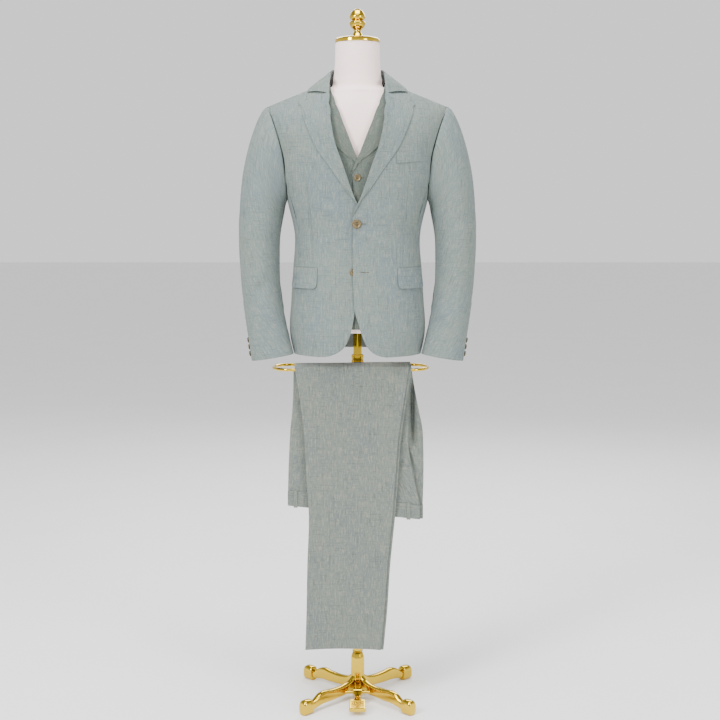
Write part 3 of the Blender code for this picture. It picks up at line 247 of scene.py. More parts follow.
def turned(name, profile, finish, sides=72, to=None):
    """A piece turned on a lathe, from (radius, height) pairs down its outer side and up any bore."""
    points, faces, rings = [], [], []
    for radius, height in profile:
        if radius < 1e-7:
            rings.append([len(points)])
            points.append((0.0, 0.0, height))
        else:
            rings.append(list(range(len(points), len(points) + sides)))
            for k in range(sides):
                points.append((radius * cos(2 * pi * k / sides), radius * sin(2 * pi * k / sides), height))
    pairs = list(zip(rings, rings[1:]))
    if len(rings[0]) > 1:
        pairs.append((rings[-1], rings[0]))
    for upper, lower in pairs:
        for k in range(sides):
            corners = [upper[k % len(upper)], lower[k % len(lower)]]
            corners += [lower[(k + 1) % len(lower)], upper[(k + 1) % len(upper)]]
            corners = list(dict.fromkeys(corners))
            if len(corners) > 2:
                faces.append(corners)
    if to is not None:
        points = [tuple(to @ Vector(point)) for point in points]
    return new_piece(name, points, faces, finish)


def lofted(name, rings, finish, sharp=35.0):
    """A closed body through rings of equally many points, flat at its ends."""
    sides = len(rings[0])
    points = [tuple(point) for ring in rings for point in ring]
    faces = []
    for k in range(len(rings) - 1):
        for i in range(sides):
            j = (i + 1) % sides
            faces.append((k * sides + i, k * sides + j, (k + 1) * sides + j, (k + 1) * sides + i))
    faces.append(tuple(range(sides))[::-1])
    faces.append(tuple(range((len(rings) - 1) * sides, len(rings) * sides)))
    return new_piece(name, points, faces, finish, sharp)


def joined(name, parts):
    """Several meshes as one piece."""
    shape = bmesh.new()
    for part in parts:
        shape.from_mesh(part.data)
    first = parts[0].data
    for part in parts:
        bpy.data.objects.remove(part)
    shape.to_mesh(first)
    shape.free()
    return placed(name, first)


COLUMN_RINGS = [  # height and radius
    (0.0140, 0.0120), (0.0142, 0.0155), (0.0180, 0.0188), (0.0190, 0.0190), (0.1085, 0.0190),
    (0.1100, 0.0188), (0.1135, 0.0178), (0.1180, 0.0165), (0.1225, 0.0146), (0.1250, 0.0130),
    (COLUMN_TOP, 0.0118),
]
octagon = [(cos(radians(22.5 + 45.0 * k)), sin(radians(22.5 + 45.0 * k))) for k in range(8)]
octagon = eased(octagon, 0.10)
rings = [[(x * radius, y * radius, z) for x, y in octagon] for z, radius in COLUMN_RINGS]
fitted(lofted("base_column_cast", rings, gold, 25.0), "stand", "polished_brass", "base_column")

LegStation = namedtuple("LegStation", "reach top bottom half_width")
LEG_ARM = [LegStation(*row) for row in (
    (0.01790, 0.0600, 0.0200, 0.0070),
    (0.03500, 0.0490, 0.0180, 0.0085),
    (0.06500, 0.0440, 0.0160, 0.0085),
    (0.10000, 0.0445, 0.0140, 0.0085),
    (0.12500, 0.0470, 0.0140, 0.0085),
    (0.14500, 0.0430, 0.0120, 0.0085),
    (0.16200, 0.0320, 0.0085, 0.0085),
    (0.17300, 0.0270, 0.0075, 0.0085),
)]
LEG_FOOT = [LegStation(*row) for row in (
    (0.17200, 0.0300, 0.0010, 0.0110),
    (0.17260, 0.0345, 0.0003, 0.0124),
    (0.17450, 0.0370, 0.0000, 0.0130),
    (0.17800, 0.0382, 0.0000, 0.0132),
    (0.18700, 0.0388, 0.0000, 0.0134),
    (0.19600, 0.0384, 0.0000, 0.0132),
    (0.20100, 0.0365, 0.0000, 0.0126),
    (0.20350, 0.0335, 0.0005, 0.0116),
    (0.20420, 0.0300, 0.0015, 0.0104),
)]
ARM_ROUNDING = 0.0074
FOOT_ROUNDING = 0.0120


def block(half_width, bottom, top, rounding, steps=4):
    """An upright oblong section with rounded corners."""
    outline = [(-half_width, bottom), (half_width, bottom), (half_width, top), (-half_width, top)]
    return eased(outline, rounding, steps)


def leg_ring(station, rounding, turn):
    """A section across a leg that points this way."""
    reach, top, bottom, half_width = station
    c, s = cos(radians(turn)), sin(radians(turn))
    section = block(half_width, bottom, top, rounding, 7)
    return [(reach * c - w * s, reach * s + w * c, z) for w, z in section]


for number, turn in enumerate(FOOT_TURNS, 1):
    arm_rings = [leg_ring(station, ARM_ROUNDING, turn) for station in smoothed(LEG_ARM, 43)]
    arm_piece = lofted("arm", arm_rings, gold, 40.0)
    foot_piece = lofted("foot", [leg_ring(station, FOOT_ROUNDING, turn) for station in LEG_FOOT], gold, 40.0)
    leg = joined(f"base_leg_cast_{number}", [arm_piece, foot_piece])
    fitted(leg, "stand", "polished_brass", f"base_leg_{number}")

# The height pedal turns on a pin between the two front legs: a barrel on the pin, a waisted arm and a ribbed
# tread. A spring inside the column returns it.
AXLE_Y = -0.050
AXLE_Z = 0.028
across = Matrix.Translation((0.0, AXLE_Y, AXLE_Z)) @ Matrix.Rotation(radians(90.0), 4, "Y")
pin = [(0.0, 0.0335), (0.0032, 0.0335), (0.0040, 0.0327)]
pin += [(radius, -height) for radius, height in pin[::-1]]
fitted(turned("pedal_pin", pin, gold, 32, across), "stand", "polished_brass", "pedal_axle")

barrel = [(0.0042, 0.0128), (0.0110, 0.0128), (0.0128, 0.0110), (0.0134, 0.0050)]
barrel += [(radius, -height) for radius, height in barrel[::-1]]
TreadStation = namedtuple("TreadStation", "y top bottom half_width")
TREAD_STATIONS = [TreadStation(*row) for row in (
    (-0.0590, 0.0370, 0.0180, 0.0122),
    (-0.0660, 0.0350, 0.0172, 0.0108),
    (-0.0760, 0.0302, 0.0170, 0.0082),
    (-0.0860, 0.0280, 0.0170, 0.0074),
    (-0.0960, 0.0282, 0.0178, 0.0088),
    (-0.1010, 0.0286, 0.0180, 0.0125),
    (-0.1045, 0.0285, 0.0180, 0.0190),
    (-0.1080, 0.0278, 0.0175, 0.0205),
    (-0.1290, 0.0243, 0.0147, 0.0212),
    (-0.1480, 0.0214, 0.0122, 0.0215),
    (-0.1510, 0.0200, 0.0128, 0.0208),
)]
FIRST_RIB_Y = -0.1115
RIB_PITCH = 0.0058
TREAD_SLOPE = 0.170
rings = []
for y, top, bottom, half_width in smoothed(TREAD_STATIONS, 41):
    rings.append([(w, y, z) for w, z in block(half_width, bottom, top, 0.0022)])
parts = [lofted("tread", rings, gold), turned("barrel", barrel, gold, 48, across)]
section = block(0.0014, -0.001, 0.0011, 0.0009)
for rib in range(7):
    y = FIRST_RIB_Y - rib * RIB_PITCH
    high = 0.0272 + (y - FIRST_RIB_Y) * TREAD_SLOPE
    slices = []
    for x, scale in ((-0.0178, 0.6), (-0.0170, 1.0), (0.0170, 1.0), (0.0178, 0.6)):
        slices.append([(x, y + a * scale, high + b * scale) for a, b in section])
    parts.append(lofted("rib", slices, gold))
fitted(joined("pedal_cast", parts), "pedal", "polished_brass", "pedal")

# The telescopic pole: a wide tube screwed into the column, a thin one that slides in it with the form on top,
# and the clamping sleeve where they meet, with a waist between its two bright bands.
CLEARANCE = 0.0003
POLE_FLOOR = 0.156
TUBE_BORE = 0.01108
SLEEVE_LOW = 0.9056
SLEEVE_HIGH = 0.9310
FORM_BOTTOM = 0.997
tube = [(0.0, POLE_FLOOR), (TUBE_BORE, POLE_FLOOR), (TUBE_BORE, SLEEVE_LOW - CLEARANCE)]
tube += [(0.0122, SLEEVE_LOW - CLEARANCE), (0.0125, SLEEVE_LOW - 0.0008), (0.0125, COLUMN_TOP + 0.0030)]
tube += [(0.0138, COLUMN_TOP + 0.0026), (0.0142, COLUMN_TOP + 0.0016), (0.0138, COLUMN_TOP + 0.0004)]
tube += [(0.0, COLUMN_TOP + CLEARANCE)]
fitted(turned("pole_tube", tube, gold), "stand", "polished_brass", "pole_lower")
rod = [(0.0, FORM_BOTTOM - CLEARANCE), (0.0110, FORM_BOTTOM - CLEARANCE)]
rod += [(0.0110, 0.1606), (0.0104, 0.160), (0.0, 0.160)]
fitted(turned("pole_rod", rod, gold), "form", "polished_brass", "pole_upper")
sleeve = [(TUBE_BORE + 0.0002, SLEEVE_HIGH), (0.0140, SLEEVE_HIGH), (0.0160, SLEEVE_HIGH - 0.0018)]
sleeve += [(0.0160, SLEEVE_HIGH - 0.0078), (0.0152, SLEEVE_HIGH - 0.0086), (0.0152, SLEEVE_LOW + 0.0096)]
sleeve += [(0.0160, SLEEVE_LOW + 0.0088), (0.0160, SLEEVE_LOW + 0.0018), (0.0142, SLEEVE_LOW)]
sleeve += [(TUBE_BORE + 0.0002, SLEEVE_LOW)]
fitted(turned("pole_sleeve", sleeve, gold), "stand", "polished_brass", "pole_collar")

# The trouser bar: one round wire bent into a long loop about the pole, brazed end to end, and held by a short
# stub that runs from the tube to its rear side.
BAR_HALF_WIDTH = 0.2035
BAR_HALF_DEPTH = 0.060
BAR_X = -0.018
BAR_END = 0.045
BAR_Z = 0.897
BAR_RADIUS = 0.0040


def swept(name, path, radius, finish, sides=16, closed=False):
    """A round wire along a path in one level."""
    path = np.asarray(path, float)
    if closed:
        run = np.roll(path, -1, 0) - np.roll(path, 1, 0)
    else:
        run = np.gradient(path, axis=0)
    run /= np.linalg.norm(run, axis=1, keepdims=True)
    up = np.tile((0.0, 0.0, 1.0), (len(path), 1))
    side = np.cross(run, up)
    side /= np.linalg.norm(side, axis=1, keepdims=True)
    up = np.cross(side, run)
    points, faces = [], []
    for k in range(sides):
        turn = 2 * pi * k / sides
        points.append(path + (side * cos(turn) + up * sin(turn)) * radius)
    points = np.stack(points, axis=1).reshape(-1, 3)
    count = len(path)
    for i in range(count if closed else count - 1):
        for k in range(sides):
            j, m = (i + 1) % count, (k + 1) % sides
            faces.append((i * sides + k, i * sides + m, j * sides + m, j * sides + k))
    if not closed:
        faces.append(tuple(range(sides)))
        faces.append(tuple(range((count - 1) * sides, count * sides))[::-1])
    return new_piece(name, points, faces, finish)


straight = BAR_HALF_WIDTH - BAR_END
loop = []
for sign in (1.0, -1.0):
    for k in range(33):
        turn = radians(-90.0 + 180.0 * k / 32)
        x = BAR_X + sign * (straight + BAR_END * cos(turn))
        loop.append((x, sign * BAR_HALF_DEPTH * sin(turn), BAR_Z))
fitted(swept("bar_wire", loop, BAR_RADIUS, gold, 20, closed=True), "stand", "polished_brass", "trouser_bar")
stub = [(0.0, 0.0129), (0.0044, 0.0129), (0.0044, 0.0150), (0.0035, 0.0165)]
stub += [(0.0035, 0.0535), (0.0040, 0.0550), (0.0040, 0.0556), (0.0, 0.0556)]
backwards = Matrix.Translation((0.0, 0.0, BAR_Z)) @ Matrix.Rotation(radians(-90.0), 4, "X")
fitted(turned("bar_stub", stub, gold, 32, backwards), "stand", "polished_brass", "bar_bracket")

# The dress form: a padded torso without arms or legs under a stretched jersey cover, sewn up the middle and
# down each side of the chest, with a neck block on top.
Girth = namedtuple("Girth", "z half_width front back waistcoat form")
GIRTHS = [Girth(*row) for row in (
    (0.925, 0.1640, 0.137, 0.134, 0.0115, 0.018),
    (0.985, 0.1765, 0.136, 0.135, 0.0120, 0.018),
    (1.080, 0.1730, 0.131, 0.131, 0.0120, 0.018),
    (1.155, 0.1680, 0.126, 0.121, 0.0115, 0.018),
    (1.245, 0.1635, 0.123, 0.110, 0.0115, 0.017),
    (1.330, 0.1815, 0.129, 0.117, 0.0120, 0.020),
    (1.400, 0.1980, 0.133, 0.127, 0.0120, 0.022),
    (1.450, 0.2080, 0.133, 0.131, 0.0110, 0.023),
    (1.500, 0.2200, 0.129, 0.131, 0.0100, 0.021),
    (1.550, 0.2310, 0.120, 0.124, 0.0085, 0.018),
    (1.600, 0.2360, 0.110, 0.112, 0.0075, 0.016),
    (1.645, 0.2380, 0.100, 0.100, 0.0070, 0.015),
)]
ROUNDNESS = 2.3
TIP_X = 0.229
TIP_Z = 1.575
NECK_X = 0.070
SHOULDER_SLOPE = 0.40
NAPE_SLOPE = 0.90
FRONT_ARCH = 0.120
BACK_ARCH = 0.170


class Torso:
    """One layer of the body's surface, by a height and an angle: 0 in front, 90 at the wearer's left."""

    def __init__(self, layer=None, drop=0.0):
        table = np.array(GIRTHS, dtype=float)
        inset = table[:, Girth._fields.index(layer)] if layer else 0.0
        self.levels = table[:, 0]
        self.widths, self.fronts, self.backs = table[:, 1] - inset, table[:, 2] - inset, table[:, 3] - inset
        self.drop = drop

    def curve(self, values, z):
        """A measure of the table at any height, on a smooth curve."""
        slopes = np.gradient(values, self.levels)
        z = np.clip(z, self.levels[0], self.levels[-1])
        first = np.clip(np.searchsorted(self.levels, z) - 1, 0, len(self.levels) - 2)
        span = self.levels[first + 1] - self.levels[first]
        t = (z - self.levels[first]) / span
        start = (2 * t**3 - 3 * t**2 + 1) * values[first] + (t**3 - 2 * t**2 + t) * span * slopes[first]
        return start + (3 * t**2 - 2 * t**3) * values[first + 1] + (t**3 - t**2) * span * slopes[first + 1]

    def ridge_z(self, x):
        """Height of the shoulder line, or of its run up the neck."""
        x = np.abs(x)
        rise = np.maximum((NECK_X - x) * (NAPE_SLOPE - SHOULDER_SLOPE), 0.0)
        return TIP_Z + (TIP_X - x) * SHOULDER_SLOPE + rise - self.drop

    def half_width(self, z):
        """Half the layer's width at this height, up to the shoulder line."""
        ridge = TIP_X - (z + self.drop - TIP_Z) / SHOULDER_SLOPE
        return np.minimum(self.curve(self.widths, z), ridge)

    def across(self, x, z, behind):
        """Points of the front or back at this x and height."""
        depth = np.where(behind, self.curve(self.backs, z), self.curve(self.fronts, z))
        share = 1.0 - (np.abs(x) / self.curve(self.widths, z)) ** ROUNDNESS
        share = np.maximum(share, 0.0) ** (1.0 / ROUNDNESS)
        rise = (self.ridge_z(x) - z) / np.where(behind, BACK_ARCH, FRONT_ARCH)
        arch = (1.0 - (1.0 - np.clip(rise, 0.0, 1.0)) ** 2) ** 0.5
        y = depth * share * arch
        return np.stack((x, np.where(behind, y, -y), z), axis=-1)

    def around(self, angle, z):
        """Points at this angle and height."""
        turn = np.radians(angle)
        wide = np.sign(np.sin(turn)) * np.abs(np.sin(turn)) ** (2.0 / ROUNDNESS)
        return self.across(self.half_width(z) * wide, np.asarray(z, float), np.cos(turn) < 0.0)

    def angle_at(self, x, z):
        """The angle of the front's point at this x."""
        share = min(abs(x) / float(self.half_width(np.float64(z))), 1.0) ** (ROUNDNESS / 2.0)
        return float(np.sign(x) * np.degrees(np.arcsin(share)))

    def normal(self, angle, z):
        """Outward normals, from points a little way round and higher, or lower near the shoulder line."""
        turn, lift = 0.7, 0.0015
        round_it = self.around(angle + turn, z) - self.around(angle - turn, z)
        lift = np.where(TIP_X - (z + lift + self.drop - TIP_Z) / SHOULDER_SLOPE < 0.001, -lift, lift)
        up = self.around(angle, z + lift) - self.around(angle, z - lift)
        found = np.cross(round_it, up) * np.sign(lift)[..., None]
        return found / np.maximum(np.linalg.norm(found, axis=-1, keepdims=True), 1e-12)


FORM = Torso("form", 0.0105)
FORM_LEVELS = (1.06, 1.13, 1.20, 1.26, 1.33, 1.40, 1.45, 1.50, 1.535, 1.558, 1.576, 1.592, 1.604, 1.613)
FORM_NECK_TOP = 1.735
NECK_ROWS = [  # height, half width, front and back
    (1.6225, 0.0685, 0.0620, 0.0520),
    (1.640, 0.0635, 0.0590, 0.0550),
    (1.655, 0.0605, 0.0575, 0.0575),
    (1.690, 0.0578, 0.0565, 0.0565),
    (FORM_NECK_TOP, 0.0565, 0.0555, 0.0555),
]

jersey, tree, shader = new_finish("form jersey", Roughness=0.82, Sheen_Weight=0.25)
warm = clouds(tree, 9.0, 3.0)
join(tree, blended(tree, warm, (0.95, 0.740, 0.690), (0.97, 0.820, 0.780)), shader.inputs["Base Color"])
place = add_node(tree, "ShaderNodeTexCoord")
loops = add_node(tree, "ShaderNodeTexVoronoi", Scale=700.0)
join(tree, place.outputs["Object"], loops.inputs["Vector"])
relief(tree, shader, loops.outputs["Distance"], 0.35, 0.0004)

FORM_SIDES = 168
FORM_RINGS = 150
FORM_SEAM_ANGLES = (0.0, 40.0, -40.0, 180.0)
FORM_SEAM_DIP = 0.0009
angles = 360.0 * np.arange(FORM_SIDES) / FORM_SIDES
rings = [FORM.around(angles, np.full(FORM_SIDES, z)) for z in (FORM_BOTTOM, *FORM_LEVELS)]
for z, half_width, front, back in NECK_ROWS:
    depth = np.where(np.cos(np.radians(angles)) > 0, front, back)
    ring = (half_width * np.sin(np.radians(angles)), -depth * np.cos(np.radians(angles)))
    rings.append(np.stack((*ring, np.full(FORM_SIDES, z)), axis=-1))
rings = smoothed(rings, FORM_RINGS)
for seam_angle in FORM_SEAM_ANGLES:
    off = np.abs((angles - seam_angle + 180.0) % 360.0 - 180.0)
    dip = np.exp(-((off / 1.1) ** 2)) * FORM_SEAM_DIP
    rings[..., :2] *= (1.0 - dip / 0.10)[None, :, None]
rim = rings[:1] * np.array((0.97, 0.97, 1.0))
form_body = lofted("form_torso", np.concatenate((rim, rings[1:])), jersey, 50.0)
fitted(form_body, "form", "form_jersey", "dress_form")

# The neck block's gold cap and its turned finial: a ball over a collar, a waist, and a flared foot.
cap_top = FORM_NECK_TOP + CLEARANCE
cap = [(0.0, 0.0150), (0.030, 0.0146), (0.045, 0.0132), (0.0535, 0.0112), (0.0568, 0.0090), (0.0575, 0.0066)]
cap = [(radius, cap_top + height) for radius, height in [*cap, (0.0575, 0.0012), (0.0566, 0.0), (0.0, 0.0)]]
fitted(turned("form_neck_plate", cap, gold, 96), "form", "polished_brass", "neck_cap")
finial_base = cap_top + 0.0150
FINIAL = [  # radius and height over its seat, from the top down
    (0.0060, 0.0701), (0.0115, 0.0666), (0.0158, 0.0615), (0.0190, 0.0556), (0.0203, 0.0500),
    (0.0188, 0.0455), (0.0150, 0.0425), (0.0131, 0.0412), (0.0150, 0.0401), (0.0192, 0.0385),
    (0.0206, 0.0362), (0.0206, 0.0338), (0.0192, 0.0290), (0.0160, 0.0235), (0.0110, 0.0195),
    (0.0090, 0.0165), (0.0092, 0.0130), (0.0108, 0.0090), (0.0132, 0.0050), (0.0153, 0.0018),
    (0.0153, 0.0003),
]
profile = [(0.0, 0.0705), *smoothed(FINIAL, 101), (0.0, 0.0003)]
profile = [(radius, height + finial_base) for radius, height in profile]
fitted(turned("form_finial", profile, gold, 64), "form", "polished_brass", "finial")

# The cloth of jacket, waistcoat and trousers: plain-woven linen of grey-blue, sage and oatmeal yarns, with
# slubs both ways. Its threads run with each piece's own grain, which the piece's UV map carries in metres.
GRAIN = "grain"


def streaks(tree, grain, across, along, detail=2.0, roughness=0.5):
    """Noise drawn out along one direction of the grain, as a yarn's thick and thin places are."""
    stretch = add_node(tree, "ShaderNodeMapping", Scale=(across, along, 1.0))
    streak = add_node(tree, "ShaderNodeTexNoise", Scale=1.0, Detail=detail, Roughness=roughness)
    join(tree, grain, stretch.inputs["Vector"])
    join(tree, stretch.outputs["Vector"], streak.inputs["Vector"])
    return streak.outputs["Fac"]


def summed(tree, first, second):
    """Two values added."""
    total = add_node(tree, "ShaderNodeMath", operation="ADD")
    join(tree, first, total.inputs[0])
    join(tree, second, total.inputs[1])
    return total.outputs["Value"]


def linen(name, sage, slate, oat, dark, strength=1.0):
    """Linen in three yarn colours, with darker slubs both ways."""
    made, tree, shader = new_finish(name, Sheen_Weight=0.06, Sheen_Roughness=0.45, Specular_IOR_Level=0.2)
    uv = add_node(tree, "ShaderNodeUVMap", uv_map=GRAIN).outputs["UV"]
    warp = streaks(tree, uv, 290.0, 42.0, 3.0, 0.65)
    weft = streaks(tree, uv, 38.0, 290.0, 3.0, 0.65)
    warp_slub = streaks(tree, uv, 190.0, 18.0, 1.0)
    weft_slub = streaks(tree, uv, 21.0, 260.0, 1.0)
    fine_warp = streaks(tree, uv, 900.0, 90.0)
    fine_weft = streaks(tree, uv, 90.0, 900.0)
    heather = streaks(tree, uv, 60.0, 48.0, 3.0, 0.65)
    cloud = streaks(tree, uv, 7.0, 5.0, 3.0, 0.6)
    colour = blended(tree, ranged(tree, cloud, 0.38, 0.62, 0.0, 1.0), sage, slate)
    colour = blended(tree, ranged(tree, heather, 0.42, 0.66, 0.0, 0.55 * strength), colour, slate)
    colour = blended(tree, ranged(tree, warp, 0.50, 0.66, 0.0, 0.80 * strength), colour, oat)
    colour = blended(tree, ranged(tree, weft, 0.52, 0.68, 0.0, 0.75 * strength), colour, slate)
    warp_dark = ranged(tree, warp_slub, 0.58, 0.72, 0.0, 0.42 * strength)
    weft_dark = ranged(tree, weft_slub, 0.58, 0.72, 0.0, 0.36 * strength)
    colour = blended(tree, summed(tree, warp_dark, weft_dark), colour, dark)
    pale = ranged(tree, summed(tree, fine_warp, fine_weft), 0.95, 1.25, 0.0, 0.40 * strength)
    colour = blended(tree, pale, colour, [part * 1.2 for part in oat])
    join(tree, colour, shader.inputs["Base Color"])
    height = summed(tree, summed(tree, fine_warp, fine_weft), summed(tree, warp, weft))
    height = summed(tree, height, summed(tree, warp_slub, weft_slub))
    relief(tree, shader, height, 0.5, 0.0007)
    join(tree, ranged(tree, warp, 0.3, 0.7, 0.78, 0.92), shader.inputs["Roughness"])
    return made


# The waistcoat's yarns are the suit's, darkened by about a third and warmed: painted shade for the V under
# the jacket's lapels, which lies in shadow.
suit_yarns = (0.152, 0.187, 0.164), (0.122, 0.160, 0.169), (0.218, 0.242, 0.206), (0.066, 0.088, 0.092)
waistcoat_shaded_yarns = (0.100, 0.123, 0.101), (0.080, 0.102, 0.097), (0.155, 0.165, 0.126), (0.048, 0.062, 0.060)
trouser_yarns = (0.148, 0.170, 0.143), (0.114, 0.137, 0.138), (0.226, 0.234, 0.183), (0.064, 0.079, 0.080)
suit_linen = linen("suit linen", *suit_yarns)
waistcoat_linen_painted_shade = linen("waistcoat linen", *waistcoat_shaded_yarns)
trouser_linen = linen("trouser linen", *trouser_yarns, 1.15)


def satin(name, colour, deep):
    """Lining satin, with a faint twill, and a slow shimmer painted into its colour as a drifting deeper and
    lighter tone.
    """
    made, tree, shader = new_finish(name, Sheen_Weight=0.3)
    uv = add_node(tree, "ShaderNodeUVMap", uv_map=GRAIN).outputs["UV"]
    turned_grain = add_node(tree, "ShaderNodeMapping", Rotation=(0.0, 0.0, radians(32.0)))
    join(tree, uv, turned_grain.inputs["Vector"])
    twill = streaks(tree, turned_grain.outputs["Vector"], 900.0, 30.0)
    # Painted sheen: the base colour drifts between a deeper and a lighter tone in slow noise.
    join(tree, blended(tree, streaks(tree, uv, 6.0, 3.0, 3.0), deep, colour), shader.inputs["Base Color"])
    relief(tree, shader, twill, 0.25, 0.0003)
    join(tree, ranged(tree, twill, 0.3, 0.7, 0.36, 0.52), shader.inputs["Roughness"])
    return made


lining = satin("lining satin", (0.150, 0.178, 0.172), (0.110, 0.132, 0.128))
Fold = namedtuple("Fold", "u v to_u to_v width depth bow", defaults=(0.10,))


def between(start, end, steps):
    """Places along a straight run, both ends with them."""
    return [tuple(np.add(start, np.multiply(np.subtract(end, start), k / steps))) for k in range(steps + 1)]


def evenly(lengths, pitch, near=0.0):
    """Places along a table so that its fine rows lie about a pitch apart, with two more close to each end."""
    places = [0.0]
    for k, length in enumerate(lengths):
        steps = max(1, int(round(length / pitch)))
        places += [k + (i + 1) / steps for i in range(steps)]
    last = len(lengths)
    if near:
        first, final = near / max(lengths[0], 1e-4), near / max(lengths[-1], 1e-4)
        places += [first, 2.4 * first, last - final, last - 2.4 * final]
    return np.array(sorted({round(place, 5) for place in places if 0 <= place <= last}))


def grid_lengths(points, axis):
    """The widest distances between neighbours along one axis of a coarse grid."""
    return np.max(np.linalg.norm(np.diff(points, axis=axis), axis=-1), axis=1 - axis)


def fine_places(coarse, pitch, near=0.0012):
    """Fractional rows and columns that divide a coarse grid at about this pitch."""
    return evenly(grid_lengths(coarse, 0), pitch, near), evenly(grid_lengths(coarse, 1), pitch, near)


def through_grid(grid, rows, columns):
    """A grid at fractional rows and columns."""
    return np.swapaxes(through(np.swapaxes(through(grid, rows), 0, 1), columns), 0, 1)


def fine_grid(layer, places, rows, columns, mirrored, raised=0.0):
    """Points and normals of a layer at fractional rows and columns of a table of (angle, height) places."""
    fine = through_grid(places, rows, columns)
    angle, z = fine[..., 0], fine[..., 1] + raised
    z = np.minimum(z, layer.ridge_z(layer.around(angle, z)[..., 0]))
    points, normals = layer.around(angle, z), layer.normal(angle, z)
    if mirrored:
        points[..., 0] *= -1
        normals[..., 0] *= -1
    return points, normals


def grid_normals(points):
    """Unit normals of any grid."""
    found = np.cross(np.gradient(points, axis=1), np.gradient(points, axis=0))
    return found / np.maximum(np.linalg.norm(found, axis=-1, keepdims=True), 1e-12)


def arc_grain(points):
    """Distances across and along a grid, in metres, from its first column and row."""
    steps = np.linalg.norm(np.diff(points, axis=1), axis=-1)
    u = np.concatenate((np.zeros((len(points), 1)), np.cumsum(steps, axis=1)), axis=1)
    rises = np.mean(np.linalg.norm(np.diff(points, axis=0), axis=-1), axis=1)
    v = np.concatenate(((0.0,), np.cumsum(rises)))[:, None] + np.zeros(points.shape[1])
    return u, v


def rumpled(u, v, folds, unevenness, seed):
    """Height of the cloth over its smooth form: soft ridges and troughs with a gentle unevenness."""
    height = np.zeros(u.shape)
    for fold in folds:
        run = np.array((fold.to_u - fold.u, fold.to_v - fold.v))
        long = np.linalg.norm(run)
        run /= long
        along = ((u - fold.u) * run[0] + (v - fold.v) * run[1]) / long
        off = -(u - fold.u) * run[1] + (v - fold.v) * run[0]
        off = off + fold.bow * long * np.sin(pi * np.clip(along, 0, 1)) * (1 if fold.depth > 0 else -1)
        swell = np.sin(pi * np.clip(along, 0.0, 1.0)) ** 0.8
        beside = np.exp(-(((off - 1.9 * fold.width) / fold.width) ** 2))
        height += fold.depth * swell * (np.exp(-((off / fold.width) ** 2)) - 0.45 * beside)
    for k, (scale, share) in enumerate(((9.0, 1.0), (23.0, 0.45))):
        wave = [
            noise.noise(Vector((a * scale, b * scale * 0.7, seed + 7.3 * k)))
            for a, b in zip(u.ravel(), v.ravel())
        ]
        height += np.array(wave).reshape(u.shape) * unevenness * share
    return height


def seam_dips(points, sides, depth=0.0008, reach=0.0026):
    """How far the cloth is drawn in where it is sewn to its neighbour."""
    dip = np.zeros(points.shape[:2])
    edges = {"first": points[:, :1], "last": points[:, -1:], "bottom": points[:1], "top": points[-1:]}
    for side in sides:
        off = np.linalg.norm(points - edges[side], axis=-1)
        dip = np.maximum(dip, depth * np.exp(-((off / reach) ** 2)))
    return dip


def shell(name, outer, inner, grain, finishes, ease=0.3):
    """A sheet of cloth between two grids of points, with eased edges, its inner side in the last finish."""
    rows, columns = outer.shape[:2]
    outer, inner = outer.copy(), inner.copy()
    for edge in (np.s_[0, :], np.s_[-1, :], np.s_[:, 0], np.s_[:, -1]):
        middle = (outer[edge] + inner[edge]) / 2
        outer[edge] += (middle - outer[edge]) * ease
        inner[edge] += (middle - inner[edge]) * ease
    under = rows * columns
    index = np.arange(under).reshape(rows, columns)
    quads = np.stack((index[:-1, :-1], index[:-1, 1:], index[1:, 1:], index[1:, :-1]), axis=-1).reshape(-1, 4)
    border = np.array([*index[0, :], *index[1:, -1], *index[-1, -2::-1], *index[-2:0:-1, 0]])
    after = np.roll(border, -1)
    rim = np.stack((after, border, border + under, after + under), axis=-1)
    faces = np.concatenate((quads, quads[:, ::-1] + under, rim))
    points = np.concatenate((outer.reshape(-1, 3), inner.reshape(-1, 3)))
    a, b, c, d = (points[faces[:, k]] for k in range(4))
    if np.einsum("ij,ij->", a, np.cross(b, c)) + np.einsum("ij,ij->", a, np.cross(c, d)) < 0:
        faces = faces[:, ::-1]
    made = meshed(name, points, faces.tolist(), finishes, 52.0)
    sides = np.zeros(len(faces), dtype=np.int32)
    sides[len(quads) : 2 * len(quads)] = len(finishes) - 1
    made.data.polygons.foreach_set("material_index", sides)
    flat = np.stack(grain, axis=-1).reshape(-1, 2)
    corner_points = np.zeros(len(made.data.loops), dtype=np.int32)
    made.data.loops.foreach_get("vertex_index", corner_points)
    made.data.uv_layers.new(name=GRAIN).data.foreach_set("uv", flat[corner_points % under].ravel())
    return made


def panel(name, points, normals, rise, thickness, grain, finishes):
    """A sheet of cloth whose outer side lies this far above the points."""
    outer = points + normals * rise[..., None]
    return shell(name, outer, outer - normals * thickness, grain, finishes)


